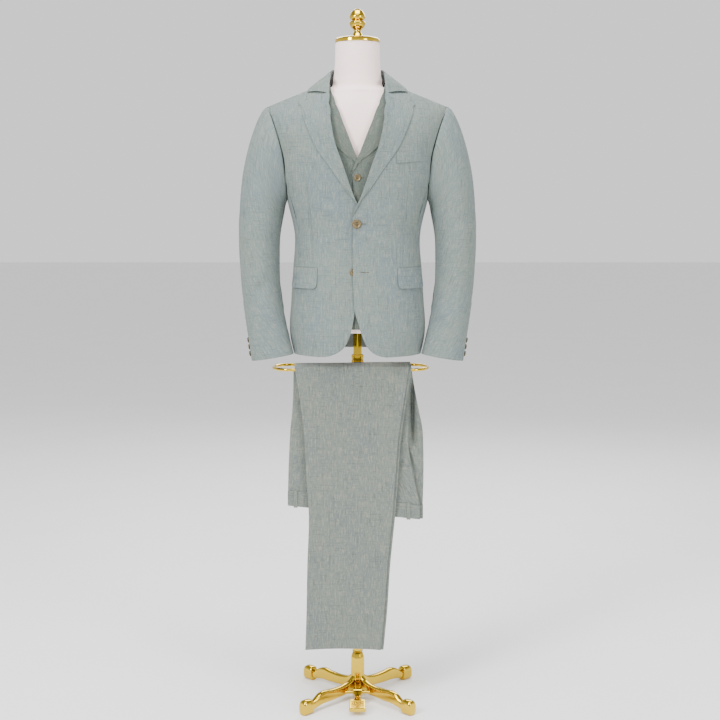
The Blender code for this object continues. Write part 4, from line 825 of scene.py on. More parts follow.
# The waistcoat: two linen fronts that close left over right on five buttons, with narrow lapels laid on them,
# and a satin back. It is worn close over the form, under the jacket.
WAISTCOAT = Torso("waistcoat", 0.0045)
WaistcoatRow = namedtuple("WaistcoatRow", "edge_x edge_z lapel_x lapel_z side_z side_angle")
WAISTCOAT_ROWS = [WaistcoatRow(*row) for row in (
    (-0.0060, 1.008, 0.050, 1.004, 1.008, 90),
    (-0.0100, 1.055, 0.045, 1.055, 1.055, 90),
    (-0.0100, 1.102, 0.042, 1.102, 1.100, 90),
    (-0.0100, 1.174, 0.038, 1.174, 1.160, 90),
    (-0.0100, 1.246, 0.034, 1.246, 1.220, 90),
    (-0.0100, 1.318, 0.030, 1.318, 1.275, 90),
    (-0.0110, 1.365, 0.024, 1.372, 1.320, 90),
    (-0.0120, 1.4045, 0.0080, 1.4262, 1.335, 78),
    (0.0010, 1.4375, 0.0270, 1.4450, 1.375, 64),
    (0.0170, 1.4760, 0.0560, 1.4720, 1.425, 56),
    (0.0370, 1.5260, 0.0830, 1.5150, 1.480, 52),
    (0.0560, 1.5750, 0.0990, 1.5600, 1.535, 52),
    (0.0660, 1.6020, 0.1050, 1.5850, 1.568, 58),
    (0.0720, 1.6210, 0.1070, 1.6050, 1.588, 68),
    (0.0740, None, 0.1080, None, None, 90),
)]
WAISTCOAT_BREAK = 7
WAISTCOAT_CLOTH = 0.0016
WAISTCOAT_LAPEL_CLOTH = 0.0011
WAISTCOAT_SEED = 3.0
WAISTCOAT_SHOULDER_X = 0.150
WAISTCOAT_HEM = 1.008
WAISTCOAT_NAPE_Z = 1.626
WAISTCOAT_UNDERLAP = (1.470, 0.0030)
WAISTCOAT_LAPEL_LIFT = 0.0020
OVERLAP_START = 0.050
OVERLAP_EDGE = 0.021
OVERLAP_RUNOUT = 0.030


def underlap(points, top, depth):
    """How far the right front goes in where the left one covers it."""
    ramp = np.clip((points[..., 0] + OVERLAP_START) / (OVERLAP_START - OVERLAP_EDGE), 0.0, 1.0)
    height = np.clip((top - points[..., 2]) / OVERLAP_RUNOUT, 0.0, 1.0)
    return (ramp * height * depth)[..., None]


def rolled_edge(points, normals, thickness):
    """A lapel's points with its first column carried round the roll line and back under it."""
    outward = points[:, 0] - points[:, 2]
    outward /= np.linalg.norm(outward, axis=-1, keepdims=True)
    root, up = points[:, 0], normals[:, 0]
    wraps = [root - up * (thickness + 0.0016) + outward * 0.0002, root - up * 0.0012 + outward * 0.0016]
    wraps.append(root + up * 0.0004 + outward * 0.0014)
    return np.concatenate((np.stack(wraps, axis=1), points), axis=1)


waistcoat_places = []
for row in WAISTCOAT_ROWS:
    edge_z = row.edge_z or float(WAISTCOAT.ridge_z(row.edge_x))
    lapel_z = row.lapel_z or float(WAISTCOAT.ridge_z(row.lapel_x))
    end = (row.side_angle, row.side_z or float(WAISTCOAT.ridge_z(WAISTCOAT_SHOULDER_X)))
    start = (WAISTCOAT.angle_at(row.edge_x, edge_z), edge_z)
    middle = (WAISTCOAT.angle_at(row.lapel_x, lapel_z), lapel_z)
    waistcoat_places.append(between(start, middle, 2)[:-1] + between(middle, end, 5))
waistcoat_places = np.array(waistcoat_places)
coarse = WAISTCOAT.around(waistcoat_places[..., 0], waistcoat_places[..., 1])
row_places, column_places = fine_places(coarse, 0.0055)
lapel_rows = row_places[(row_places >= WAISTCOAT_BREAK) & (row_places <= len(WAISTCOAT_ROWS) - 2)]
lapel_columns = evenly(grid_lengths(coarse[:, :3], 1), 0.0050, 0.0010)
WAISTCOAT_FOLDS = [
    Fold(0.020, 1.100, 0.110, 1.080, 0.010, 0.0010),
    Fold(0.015, 1.180, 0.095, 1.200, 0.009, -0.0010),
    Fold(0.030, 1.300, 0.120, 1.330, 0.010, 0.0008),
]
for side, left in (("left", True), ("right", False)):
    points, normals = fine_grid(WAISTCOAT, waistcoat_places, row_places, column_places, not left)
    grain = (arc_grain(points)[0] * (1 if left else -1), points[..., 2])
    rise = rumpled(np.abs(grain[0]), grain[1], WAISTCOAT_FOLDS, 0.0003, WAISTCOAT_SEED + left)
    rise -= seam_dips(points, ("last", "top"))
    if not left:
        points = points - normals * underlap(points, *WAISTCOAT_UNDERLAP)
    finishes = [waistcoat_linen_painted_shade, lining]
    front = panel(f"vest_front_{side}", points, normals, rise, WAISTCOAT_CLOTH, grain, finishes)
    fitted(front, "form", "sage_linen", f"waistcoat_front_{side}")
    rows = lapel_rows if left else lapel_rows[lapel_rows >= WAISTCOAT_BREAK + 0.05]
    points, normals = fine_grid(WAISTCOAT, waistcoat_places, rows, lapel_columns, not left)
    if not left:
        points = points - normals * underlap(points, *WAISTCOAT_UNDERLAP)
    points = points + normals * WAISTCOAT_LAPEL_LIFT
    wrapped = rolled_edge(points, normals, WAISTCOAT_CLOTH)
    grain = arc_grain(wrapped)
    lapel_normals = grid_normals(wrapped)
    lapel_normals *= np.sign(np.sum(lapel_normals[:, 5:] * normals[:, 2:3], axis=(1, 2)).mean())
    inner = wrapped - lapel_normals * WAISTCOAT_LAPEL_CLOTH
    lapel = shell(f"vest_lapel_{side}", wrapped, inner, grain, [waistcoat_linen_painted_shade])
    fitted(lapel, "form", "sage_linen", f"waistcoat_lapel_{side}")

steps = 5
back_places = []
for k, row in enumerate(WAISTCOAT_ROWS[:-1]):
    middle_z = WAISTCOAT_HEM + (WAISTCOAT_NAPE_Z - WAISTCOAT_HEM) * k / (len(WAISTCOAT_ROWS) - 2)
    back_places.append(between((180.0 - row.side_angle, row.side_z), (180.0, middle_z), steps))
ridge_end = (90.0, float(WAISTCOAT.ridge_z(WAISTCOAT_ROWS[-1].edge_x)))
shoulder = (90.0, float(WAISTCOAT.ridge_z(WAISTCOAT_SHOULDER_X)))
nape = (180.0, WAISTCOAT_NAPE_Z)
back_places.append(between(shoulder, ridge_end, 2) + between(ridge_end, nape, steps - 2)[1:])
coarse = WAISTCOAT.around(*np.moveaxis(np.array(back_places), -1, 0))
points, normals = fine_grid(WAISTCOAT, back_places, *fine_places(coarse, 0.007), False)
flip = np.array((-1.0, 1.0, 1.0))
points = np.concatenate((points, points[:, -2::-1] * flip), axis=1)
normals = np.concatenate((normals, normals[:, -2::-1] * flip), axis=1)
grain = (points[..., 0], points[..., 2])
back_satin = satin("waistcoat back satin", (0.200, 0.235, 0.222), (0.150, 0.178, 0.168))
rise = -seam_dips(points, ("first", "last", "top"))
vest_back = panel("vest_back", points, normals, rise, WAISTCOAT_CLOTH, grain, [back_satin, lining])
fitted(vest_back, "form", "back_satin", "waistcoat_back")

# The jacket's fronts: linen over a light canvas, cut away below the lower button. Above the upper one each
# front turns back along its roll line as a notch lapel. A long dart runs from the chest to the pocket.
JACKET = Torso()
JACKET_CLOTH = 0.0020
LAPEL_CLOTH = 0.0014
FRONT_SEED = 11.0
ARMHOLE_MID = 1.455
ARMHOLE_HALF_HEIGHT = 0.120
ARMHOLE_HALF_ANGLE = 25.0
ARMHOLE_FULLNESS = 0.75
ARMHOLE_TURNS = (0, 12, 28, 48, 70, 92, 114, 135, 157.5, 180, 202.5, 225, 246, 268, 290, 312, 332, 348, 360)
LAST_STATION = len(ARMHOLE_TURNS) - 1
FRONT_SEAM_STATION = 7
BACK_SEAM_STATION = 11
FRONT_SEAM_ANGLE = 66.0
BACK_SEAM_ANGLE = 115.0
FrontRow = namedtuple("FrontRow", "left_x left_z right_x right_z lapel_x lapel_z side_z")
FRONT_ROWS = [FrontRow(*row) for row in (
    (0.0737, 0.9365, -0.1000, 0.9367, 0.120, 0.9370, 0.937),
    (0.0480, 0.9430, -0.0700, 0.9400, 0.105, 0.9440, 0.950),
    (0.0260, 0.9620, -0.0400, 0.9560, 0.090, 0.9620, 0.968),
    (0.0115, 0.9930, -0.0215, 0.9850, 0.078, 0.9930, 0.993),
    (0.0015, 1.0270, -0.0110, 1.0270, 0.070, 1.0270, 1.025),
    (-0.0076, 1.0630, -0.0050, 1.0630, 0.064, 1.0630, 1.063),
    (-0.0108, 1.1340, 0.0070, 1.1340, 0.055, 1.1300, 1.125),
    (-0.0113, 1.2050, 0.0110, 1.2050, 0.040, 1.2000, 1.190),
    (-0.0115, 1.2620, 0.0115, 1.2620, 0.020, 1.2600, 1.250),
    (-0.0116, 1.2940, 0.0100, 1.3000, 0.0070, 1.3240, 1.312),
    (0.0156, 1.3576, -0.0156, 1.3576, 0.0310, 1.3600, None),
    (0.0365, 1.4190, -0.0365, 1.4190, 0.0680, 1.4150, None),
    (0.0550, 1.4710, -0.0550, 1.4710, 0.1025, 1.4640, None),
    (0.0665, 1.5250, -0.0665, 1.5250, 0.1260, 1.5150, None),
    (0.0700, 1.5680, -0.0700, 1.5680, 0.1390, 1.5510, None),
    (0.0705, 1.6000, -0.0705, 1.6000, 0.1458, 1.5735, None),
    (0.0703, 1.6265, -0.0703, 1.6265, 0.1455, 1.5985, None),
    (0.0700, 1.6386, -0.0700, 1.6386, 0.1450, None, None),
)]
BREAK_ROW = 9
GORGE_ROW = 15
GORGE_PLACES = (0.0, 0.25, 0.47, 0.70, 0.84, 0.93, 1.0)
GORGE_RISE = (0.0, 0.0055, 0.0110, 0.0165, 0.0190, 0.0125, 0.0)
JACKET_UNDERLAP = (1.390, 0.0052)
JACKET_LAPEL_LIFT = 0.0026
LAPEL_FULLNESS = 0.0042
LAPEL_ROLL = 0.0030


def armhole_place(turn):
    """Angle and height of a point of the armhole, by its turn from the shoulder down the front."""
    turn = np.radians(turn)
    sway = np.sign(np.sin(turn)) * np.abs(np.sin(turn)) ** ARMHOLE_FULLNESS
    height = ARMHOLE_MID + ARMHOLE_HALF_HEIGHT * np.cos(turn)
    return np.stack((90.0 - ARMHOLE_HALF_ANGLE * sway, height), axis=-1)


def armhole(first, last):
    """The armhole's stations from the first to the last."""
    step = 1 if last > first else -1
    return [tuple(armhole_place(ARMHOLE_TURNS[k])) for k in range(first, last + step, step)]


def side_seam(angle):
    """The fronts' seam places below the armhole, at this angle."""
    return [(angle, row.side_z) for row in FRONT_ROWS if row.side_z]


def front_places(left):
    """The front's table of places, from its edge over the lapel's line to the side seam and armhole."""
    places = []
    for row, end in zip(FRONT_ROWS, side_seam(FRONT_SEAM_ANGLE) + armhole(FRONT_SEAM_STATION, 0)):
        x, z = (row.left_x, row.left_z) if left else (-row.right_x, row.right_z)
        edge_z = row.lapel_z or float(JACKET.ridge_z(row.lapel_x))
        start = (JACKET.angle_at(x, z), z)
        middle = (JACKET.angle_at(row.lapel_x, edge_z), edge_z)
        places.append(between(start, middle, 3)[:-1] + between(middle, end, 6))
    return np.array(places)


FRONT_FOLDS = {
    "left": [
        Fold(-0.005, 1.262, 0.105, 1.215, 0.010, 0.0016),
        Fold(-0.008, 1.245, 0.085, 1.165, 0.009, -0.0013),
        Fold(0.000, 1.290, 0.120, 1.330, 0.011, 0.0014),
        Fold(0.150, 1.500, 0.195, 1.380, 0.014, 0.0022),
        Fold(0.060, 1.060, 0.125, 0.960, 0.014, 0.0012),
        Fold(0.130, 1.270, 0.160, 1.215, 0.009, -0.0014),
        Fold(0.128, 1.400, 0.112, 1.160, 0.006, -0.0013, 0.0),
    ],
    "right": [
        Fold(0.010, 1.258, 0.115, 1.225, 0.010, 0.0015),
        Fold(0.015, 1.240, 0.095, 1.180, 0.009, -0.0012),
        Fold(0.030, 1.300, 0.125, 1.345, 0.012, 0.0015),
        Fold(0.155, 1.490, 0.195, 1.370, 0.014, 0.0020),
        Fold(0.045, 1.080, 0.105, 0.970, 0.013, -0.0012),
        Fold(0.125, 1.285, 0.162, 1.240, 0.008, -0.0012),
        Fold(0.128, 1.400, 0.112, 1.160, 0.006, -0.0013, 0.0),
    ],
}
front_tables = {}
for side, left in (("left", True), ("right", False)):
    places = front_places(left)
    coarse = JACKET.around(places[..., 0], places[..., 1])
    rows, columns = fine_places(coarse, 0.0050)
    points, normals = fine_grid(JACKET, places, rows, columns, not left)
    grain = (points[..., 0], points[..., 2])
    rise = rumpled(np.abs(points[..., 0]), points[..., 2], FRONT_FOLDS[side], 0.0005, FRONT_SEED + left)
    rise -= seam_dips(points, ("last", "top"))
    if not left:
        points = points - normals * underlap(points, *JACKET_UNDERLAP)
    front = panel(f"coat_front_{side}", points, normals, rise, JACKET_CLOTH, grain, [suit_linen, lining])
    fitted(front, "form", "sage_linen", f"jacket_front_{side}")
    front_tables[side] = places

    first = BREAK_ROW if left else BREAK_ROW + 0.35
    rows = rows[(rows >= first) & (rows <= GORGE_ROW)]
    columns = evenly(grid_lengths(coarse[:, :4], 1), 0.0040, 0.0010)
    near_gorge = np.clip((rows - GORGE_ROW + 1.3) / 1.3, 0.0, 1.0)[:, None] ** 2
    raised = np.interp(columns / 3.0, GORGE_PLACES, GORGE_RISE) * near_gorge
    points, normals = fine_grid(JACKET, places, rows, columns, not left, raised)
    if not left:
        points = points - normals * underlap(points, *JACKET_UNDERLAP)
    from_roll = np.linalg.norm(points - points[:, :1], axis=-1, keepdims=True)
    from_break = np.clip((points[..., 2:] - points[0, 0, 2]) / 0.10, 0.0, 1.0)
    fullness = LAPEL_FULLNESS * np.exp(-((from_roll / 0.014) ** 2)) * from_break
    points = points + normals * (JACKET_LAPEL_LIFT + fullness)
    wrapped = rolled_edge(points, normals, JACKET_CLOTH + LAPEL_ROLL)
    lapel_normals = grid_normals(wrapped)
    lapel_normals *= np.sign(np.sum(lapel_normals[:, 8] * normals[:, 5], axis=-1).mean())
    inner = wrapped - lapel_normals * LAPEL_CLOTH
    lapel = shell(f"coat_lapel_{side}", wrapped, inner, arc_grain(wrapped), [suit_linen])
    fitted(lapel, "form", "sage_linen", f"jacket_lapel_{side}")

# Side panels and backs: the panel runs from the front seam to the back seam under the arm; the two backs meet
# in a centre seam that opens as a vent at the hem.
VENT_TOP = 1.150
VENT_OPENING = 0.004
NAPE_Z = 1.632
BACK_COLUMNS = 7
BACK_LIFT = 1.2
BACK_SEED = 21.0
HEM = FRONT_ROWS[0].side_z
BACK_FOLDS = [
    Fold(0.020, 1.560, 0.150, 1.505, 0.016, 0.0016),
    Fold(0.120, 1.480, 0.165, 1.350, 0.014, 0.0020),
    Fold(0.015, 1.270, 0.120, 1.235, 0.012, 0.0018),
    Fold(0.020, 1.235, 0.105, 1.185, 0.010, -0.0015),
    Fold(0.060, 1.100, 0.100, 0.960, 0.014, 0.0012),
]
seam_front, seam_back = side_seam(FRONT_SEAM_ANGLE), side_seam(BACK_SEAM_ANGLE)
steps = BACK_SEAM_STATION - FRONT_SEAM_STATION
panel_places = [between(a, b, steps) for a, b in zip(seam_front, seam_back)]
panel_places[-1] = armhole(FRONT_SEAM_STATION, BACK_SEAM_STATION)
back_edge = seam_back + armhole(BACK_SEAM_STATION, LAST_STATION)
back_places = []
for k, (angle, z) in enumerate(back_edge[:-1]):
    share = k / (len(back_edge) - 2)
    middle_z = HEM + (NAPE_Z - HEM) * share
    line = between((angle, z), (180.0, middle_z), BACK_COLUMNS)
    lift = (middle_z - z) * BACK_LIFT * share**2
    shares = [i / BACK_COLUMNS for i in range(BACK_COLUMNS + 1)]
    back_places.append([(turn, height + lift * s * (1 - s)) for (turn, height), s in zip(line, shares)])
ridge_end = (90.0, float(JACKET.ridge_z(NECK_X)))
shoulder = BACK_COLUMNS // 2
top = between(back_edge[-1], ridge_end, shoulder)
back_places.append(top + between(ridge_end, (180.0, NAPE_Z), BACK_COLUMNS - shoulder)[1:])

for side, sign in (("left", 1.0), ("right", -1.0)):
    for name, places, cut, area in (
        ("side", panel_places, (0.16, 0.46), 0.055),
        ("back", back_places, (0.27, 0.74), 0.158),
    ):
        coarse = JACKET.around(*np.moveaxis(np.array(places), -1, 0))
        points, normals = fine_grid(JACKET, places, *fine_places(coarse, 0.0055), sign < 0)
        folds = BACK_FOLDS if name == "back" else []
        if name == "back":
            drop = np.clip((VENT_TOP - points[:, -1, 2]) / (VENT_TOP - HEM), 0.0, 1.0)
            near_seam = np.linspace(0.0, 1.0, points.shape[1]) ** 6
            points[..., 0] += sign * VENT_OPENING / 2 * drop[:, None] * near_seam
        grain = (arc_grain(points)[0], points[..., 2])
        rise = rumpled(np.abs(points[..., 0]), points[..., 2], folds, 0.0006, BACK_SEED + sign + len(name))
        rise -= seam_dips(points, ("first", "last", "top"))
        made = panel(f"coat_{name}_{side}", points, normals, rise, JACKET_CLOTH, grain, [suit_linen, lining])
        fitted(made, "form", "sage_linen", f"jacket_{name}_{side}")

# Sleeves: a top and an under piece each, eased into the armhole over a small shoulder pad, curved forward at
# the elbow and worn empty. Each hind seam ends in a short vent with three buttons.
SLEEVE_CLOTH = 0.0017
SLEEVE_SEED = 31.0
SleeveRow = namedtuple("SleeveRow", "z inner outer middle_y half_depth hind_angle tilt")
SLEEVE_ROWS = [SleeveRow(*row) for row in (
    (1.310, 0.1890, 0.3055, 0.000, 0.072, -112, 0.000),
    (1.246, 0.2005, 0.3090, -0.003, 0.067, -108, 0.000),
    (1.190, 0.2030, 0.3075, -0.006, 0.063, -102, 0.000),
    (1.139, 0.2025, 0.3045, -0.010, 0.059, -94, 0.000),
    (1.085, 0.1970, 0.2990, -0.018, 0.054, -82, 0.000),
    (1.033, 0.1890, 0.2920, -0.027, 0.049, -66, 0.002),
    (0.980, 0.1775, 0.2830, -0.041, 0.042, -44, 0.005),
    (0.930, 0.1655, 0.2745, -0.054, 0.036, -25, 0.009),
)]
SLEEVE_FRONT_TURN = ARMHOLE_TURNS[8]
SLEEVE_HIND_TURN = ARMHOLE_TURNS[12]
SEAM = 0.00034


def sleeve_ring(row, turns):
    """Points round the arm at these turns: 0 outward, 90 in front."""
    z, inner, outer, middle_y, half_depth, _, tilt = row
    turns = np.radians(turns)
    x = (inner + outer) / 2 + (outer - inner) / 2 * np.cos(turns)
    return np.stack((x, middle_y - half_depth * np.sin(turns), z - tilt * np.cos(turns)), axis=-1)


def sleeve_piece(armhole_turns, hind_to_front):
    """Rows of points down one piece of a sleeve, from the armhole to the cuff."""
    rings = []
    for row in smoothed(SLEEVE_ROWS, 85):
        hind = row[SleeveRow._fields.index("hind_angle")]
        ends = (hind, SLEEVE_FRONT_TURN) if hind_to_front else (SLEEVE_FRONT_TURN, hind + 360.0)
        turns = np.interp(armhole_turns, (armhole_turns[0], armhole_turns[-1]), ends)
        rings.append(sleeve_ring(row, turns))
    place = armhole_place(armhole_turns)
    start = JACKET.around(place[..., 0], place[..., 1])
    turn = np.radians(armhole_turns)
    top = (1 + np.cos(turn)) / 2
    out = np.stack((0.6 + 0.4 * top, -0.5 * np.sin(turn), -0.1 - 0.7 * (1 - top) ** 2), axis=-1)
    out /= np.linalg.norm(out, axis=-1, keepdims=True)
    first = start + out * (0.005 + 0.017 * top)[:, None]
    second = rings[0] + np.stack((0 * top, 0 * top, 0.006 + 0.124 * top), axis=-1)
    begin = start + out * SEAM * 2.0
    shares = sorted({0.008, 0.02, *[k / 30 for k in range(30)]})
    cap = [
        (1 - t) ** 3 * begin + 3 * t * (1 - t) ** 2 * first + 3 * t**2 * (1 - t) * second + t**3 * rings[0]
        for t in shares
    ]
    tail = [rings[-1] + (rings[-2] - rings[-1]) * 0.25]
    return np.array(cap + rings[:-1] + tail + rings[-1:])


SLEEVE_FOLDS = {
    "top": [
        Fold(0.165, 0.120, 0.105, 0.240, 0.012, 0.0016),
        Fold(0.185, 0.250, 0.120, 0.340, 0.010, -0.0018),
        Fold(0.195, 0.330, 0.135, 0.385, 0.009, 0.0020),
        Fold(0.200, 0.365, 0.140, 0.440, 0.009, -0.0019),
        Fold(0.190, 0.430, 0.120, 0.470, 0.010, 0.0015),
        Fold(0.020, 0.260, 0.085, 0.330, 0.011, 0.0012),
        Fold(0.030, 0.390, 0.090, 0.420, 0.010, -0.0012),
    ],
    "under": [
        Fold(0.020, 0.230, 0.090, 0.300, 0.009, -0.0016),
        Fold(0.010, 0.300, 0.085, 0.345, 0.009, 0.0018),
        Fold(0.015, 0.360, 0.080, 0.380, 0.009, -0.0014),
    ],
}
top_turns = np.linspace(SLEEVE_HIND_TURN - 360.0, SLEEVE_FRONT_TURN, 66)
under_turns = np.linspace(SLEEVE_FRONT_TURN, SLEEVE_HIND_TURN, 28)
for name, turns, hind_to_front, cut, area in (
    ("top", top_turns, True, (0.27, 0.69), 0.150),
    ("under", under_turns, False, (0.17, 0.52), 0.060),
):
    near = np.array((0.10, 0.26)) * (turns[1] - turns[0])
    turns = np.sort(np.concatenate((turns, turns[0] + near, turns[-1] - near)))
    points = sleeve_piece(turns, hind_to_front)
    normals = grid_normals(points)
    centre = points.mean(axis=1, keepdims=True)
    if name == "under":
        centre = centre + np.array((0.05, 0.0, 0.0))
    normals *= np.sign(np.sum(normals * (points - centre), axis=-1).mean())
    grain = arc_grain(points)
    rise = rumpled(*grain, SLEEVE_FOLDS[name], 0.0007, SLEEVE_SEED + len(name))
    rise -= seam_dips(points, ("first", "last", "bottom"))
    for side, sign in (("left", 1.0), ("right", -1.0)):
        flip = np.array((sign, 1.0, 1.0))
        cloth = (points * flip, normals * flip, rise, SLEEVE_CLOTH, (grain[0] * sign, grain[1]))
        made = panel(f"coat_sleeve_{name}_{side}", *cloth, [suit_linen, lining])
        fitted(made, "form", "sage_linen", f"jacket_sleeve_{name}_{side}")

# The collar: a stand with the fall turned down over it, cut on the bias in one strip and sewn to the neck and
# to the lapels' top edges, where it leaves a notch.
COLLAR_ROWS = [  # from the nape round to the front: seam, roll inside, roll outside, outer edge
    [(0.0000, 0.0810, 1.633), (0.0000, 0.0740, 1.668), (0.0000, 0.0795, 1.6690), (0.0000, 0.1018, 1.6110)],
    [(0.0260, 0.0750, 1.6335), (0.0250, 0.0690, 1.668), (0.0270, 0.0745, 1.6690), (0.0367, 0.0883, 1.6100)],
    [(0.0500, 0.0600, 1.635), (0.0480, 0.0550, 1.668), (0.0525, 0.0590, 1.6690), (0.0745, 0.0648, 1.6132)],
    [(0.0660, 0.0300, 1.639), (0.0640, 0.0280, 1.666), (0.0690, 0.0300, 1.6670), (0.1034, 0.0355, 1.6201)],
    [(0.0700, 0.0000, 1.640), (0.0680, 0.0000, 1.658), (0.0730, 0.0000, 1.6590), (0.1193, 0.0027, 1.6231)],
    [(0.0705, -0.033, 1.636), (0.0690, -0.035, 1.646), (0.0735, -0.0365, 1.6465), (0.1241, -0.0180, 1.6198)],
    [(0.0712, -0.058, 1.623), (0.0705, -0.062, 1.630), (0.0745, -0.0640, 1.6300), (0.1266, -0.0311, 1.6148)],
    [(0.0718, -0.0765, 1.603), (0.0715, -0.081, 1.6045), (0.075, -0.0825, 1.6035), (0.1282, -0.0412, 1.6095)],
]
COLLAR_CLOTH = 0.0016
half = []
for seam, roll_in, roll_out, edge in np.array(COLLAR_ROWS):
    half.append([seam, roll_in, roll_out, (roll_out + edge) / 2 + np.array((0.0, 0.0, 0.0025)), edge])
half = np.array(half)
coarse = np.concatenate((half[:0:-1] * np.array((-1.0, 1.0, 1.0)), half))
rows = evenly(grid_lengths(coarse, 0), 0.004, 0.0010)
columns = evenly(grid_lengths(coarse, 1), 0.0035, 0.0010)
points = through_grid(coarse, rows, columns)
normals = grid_normals(points)
normals *= np.sign(normals[len(points) // 2, -1, 2])
collar = shell("coat_collar", points, points - normals * COLLAR_CLOTH, arc_grain(points), [suit_linen])
fitted(collar, "form", "sage_linen", "jacket_collar")

# Pocket flaps hang from jetted waist pockets across each side seam, rounded at their lower corners. The
# breast pocket has a sloping welt.
FLAP_TOP = 1.163
FLAP_BOTTOM = 1.110
FLAP_ANGLES = (34.0, 76.0)
CORNER_SHARE = 0.24
CORNER_TRIM = 3.4
FLAP_LIFT = 0.0022
FLAP_HANG = 0.0028
FLAP_SEED = 41.0
levels = np.concatenate((np.linspace(0.0, CORNER_SHARE, 9), np.linspace(0.3, 0.97, 10), (0.985, 1.0)))
places = []
for level in levels:
    corner = max(0.0, 1.0 - level / CORNER_SHARE)
    trim = CORNER_TRIM * (1.0 - (1.0 - corner**2) ** 0.5)
    z = FLAP_BOTTOM + (FLAP_TOP - FLAP_BOTTOM) * level
    places.append(between((FLAP_ANGLES[0] + trim, z), (FLAP_ANGLES[1] - trim, z), 12))
columns = evenly([0.0095] * 12, 0.004, 0.0010)
for side, left in (("left", True), ("right", False)):
    points, normals = fine_grid(JACKET, places, np.arange(len(levels)), columns, not left)
    hang = np.clip((FLAP_TOP - points[..., 2]) / (FLAP_TOP - FLAP_BOTTOM), 0.0, 1.0)
    grain = (points[..., 0], points[..., 2])
    lift = FLAP_LIFT + FLAP_HANG * hang**1.5 + rumpled(*grain, [], 0.0006, FLAP_SEED + left)
    flap = panel(f"coat_flap_{side}", points, normals, lift, SLEEVE_CLOTH, grain, [suit_linen])
    fitted(flap, "form", "sage_linen", f"jacket_flap_{side}")

WELT_X = (0.098, 0.163)
WELT_Z = (1.4390, 1.4460)
WELT_HEIGHT = 0.027
WELT_LIFT = 0.0024
places = []
for level in (0.0, 0.05, 0.3, 0.5, 0.7, 0.95, 1.0):
    ends = [(x, z + WELT_HEIGHT * (level - 0.5)) for x, z in zip(WELT_X, WELT_Z)]
    places.append(between(*[(JACKET.angle_at(x, z), z) for x, z in ends], 5))
rows, columns = evenly([0.004] * 6, 0.002), evenly([0.013] * 5, 0.004, 0.0010)
points, normals = fine_grid(JACKET, places, rows, columns, False)
rise = np.full(points.shape[:2], WELT_LIFT)
grain = (points[..., 0], points[..., 2])
welt = panel("coat_breast_welt", points, normals, rise, SLEEVE_CLOTH, grain, [suit_linen])
fitted(welt, "form", "sage_linen", "jacket_breast_welt")

# The trousers: each leg is pressed flat along its creases, front crease to one side and seat crease to the
# other, and the pair is folded at the knee over the bar's front side, hips behind and legs in front.
LegRow = namedtuple("LegRow", "z left right")
FRONT_LENGTH = [LegRow(*row) for row in (
    (0.1520, -0.1382, 0.0617),
    (0.2580, -0.1346, 0.0715),
    (0.3815, -0.1320, 0.0793),
    (0.5100, -0.1275, 0.0915),
    (0.6160, -0.1335, 0.0995),
    (0.7170, -0.1385, 0.1065),
    (0.8090, -0.1480, 0.1195),
    (0.8970, -0.1615, 0.1325),
)]
NEAR_LENGTH = [LegRow(*row) for row in (
    (0.8970, -0.1640, 0.1410),
    (0.8420, -0.1660, 0.1500),
    (0.7890, -0.1690, 0.1610),
    (0.7490, -0.1735, 0.1700),
    (0.6960, -0.1770, 0.1730),
    (0.6300, -0.1800, 0.1735),
    (0.5780, -0.1815, 0.1720),
)]
FAR_LENGTH = [LegRow(*row) for row in (
    (0.8970, -0.1655, 0.1310),
    (0.8420, -0.1675, 0.1315),
    (0.7890, -0.1700, 0.1325),
    (0.7490, -0.1745, 0.1335),
    (0.6960, -0.1780, 0.1350),
    (0.6300, -0.1810, 0.1500),
    (0.5780, -0.1825, 0.1640),
)]
OUTSEAM_X = -0.0285
FAR_SHIFT = 0.0070
LEG_THICKNESS = 0.0046
HIP_THICKNESS = 0.0100
LAYER_GAP = 0.0004
BAND_THICKNESS = 0.0110
BAND_HEIGHT = 0.040
BAND_DROP = 0.107
TROUSER_CLOTH = 0.0011
TROUSER_SEED = 51.0
FOLD_STEPS = 6
FAR_REACH = BAR_RADIUS + LAYER_GAP + LEG_THICKNESS / 2
NEAR_REACH = FAR_REACH + LEG_THICKNESS + LAYER_GAP
TROUSER_FOLDS = {
    "near": [
        Fold(-0.100, 0.020, -0.085, 0.260, 0.016, 0.0012),
        Fold(0.010, 0.050, 0.030, 0.330, 0.018, -0.0010),
        Fold(-0.110, 0.330, -0.020, 0.395, 0.013, 0.0014),
        Fold(-0.060, 0.420, 0.050, 0.470, 0.012, -0.0011),
        Fold(0.020, 0.480, 0.095, 0.560, 0.013, 0.0013),
        Fold(-0.120, 0.600, -0.060, 0.735, 0.014, 0.0010),
        Fold(0.100, 0.850, 0.160, 1.010, 0.012, 0.0016),
        Fold(0.120, 0.930, 0.165, 1.080, 0.010, -0.0014),
        Fold(-0.150, 0.900, -0.120, 1.050, 0.012, 0.0010),
    ],
    "far": [
        Fold(0.060, 0.850, 0.120, 1.000, 0.012, 0.0012),
        Fold(-0.140, 0.880, -0.100, 1.040, 0.012, -0.0010),
    ],
}


def hip_thickness(z, bottom):
    """How far down the hips a height is, and the folded leg's full thickness there."""
    down = max(0.0, (BAR_Z - z) / (BAR_Z - bottom))
    return down, LEG_THICKNESS + (HIP_THICKNESS - LEG_THICKNESS) * down**0.8


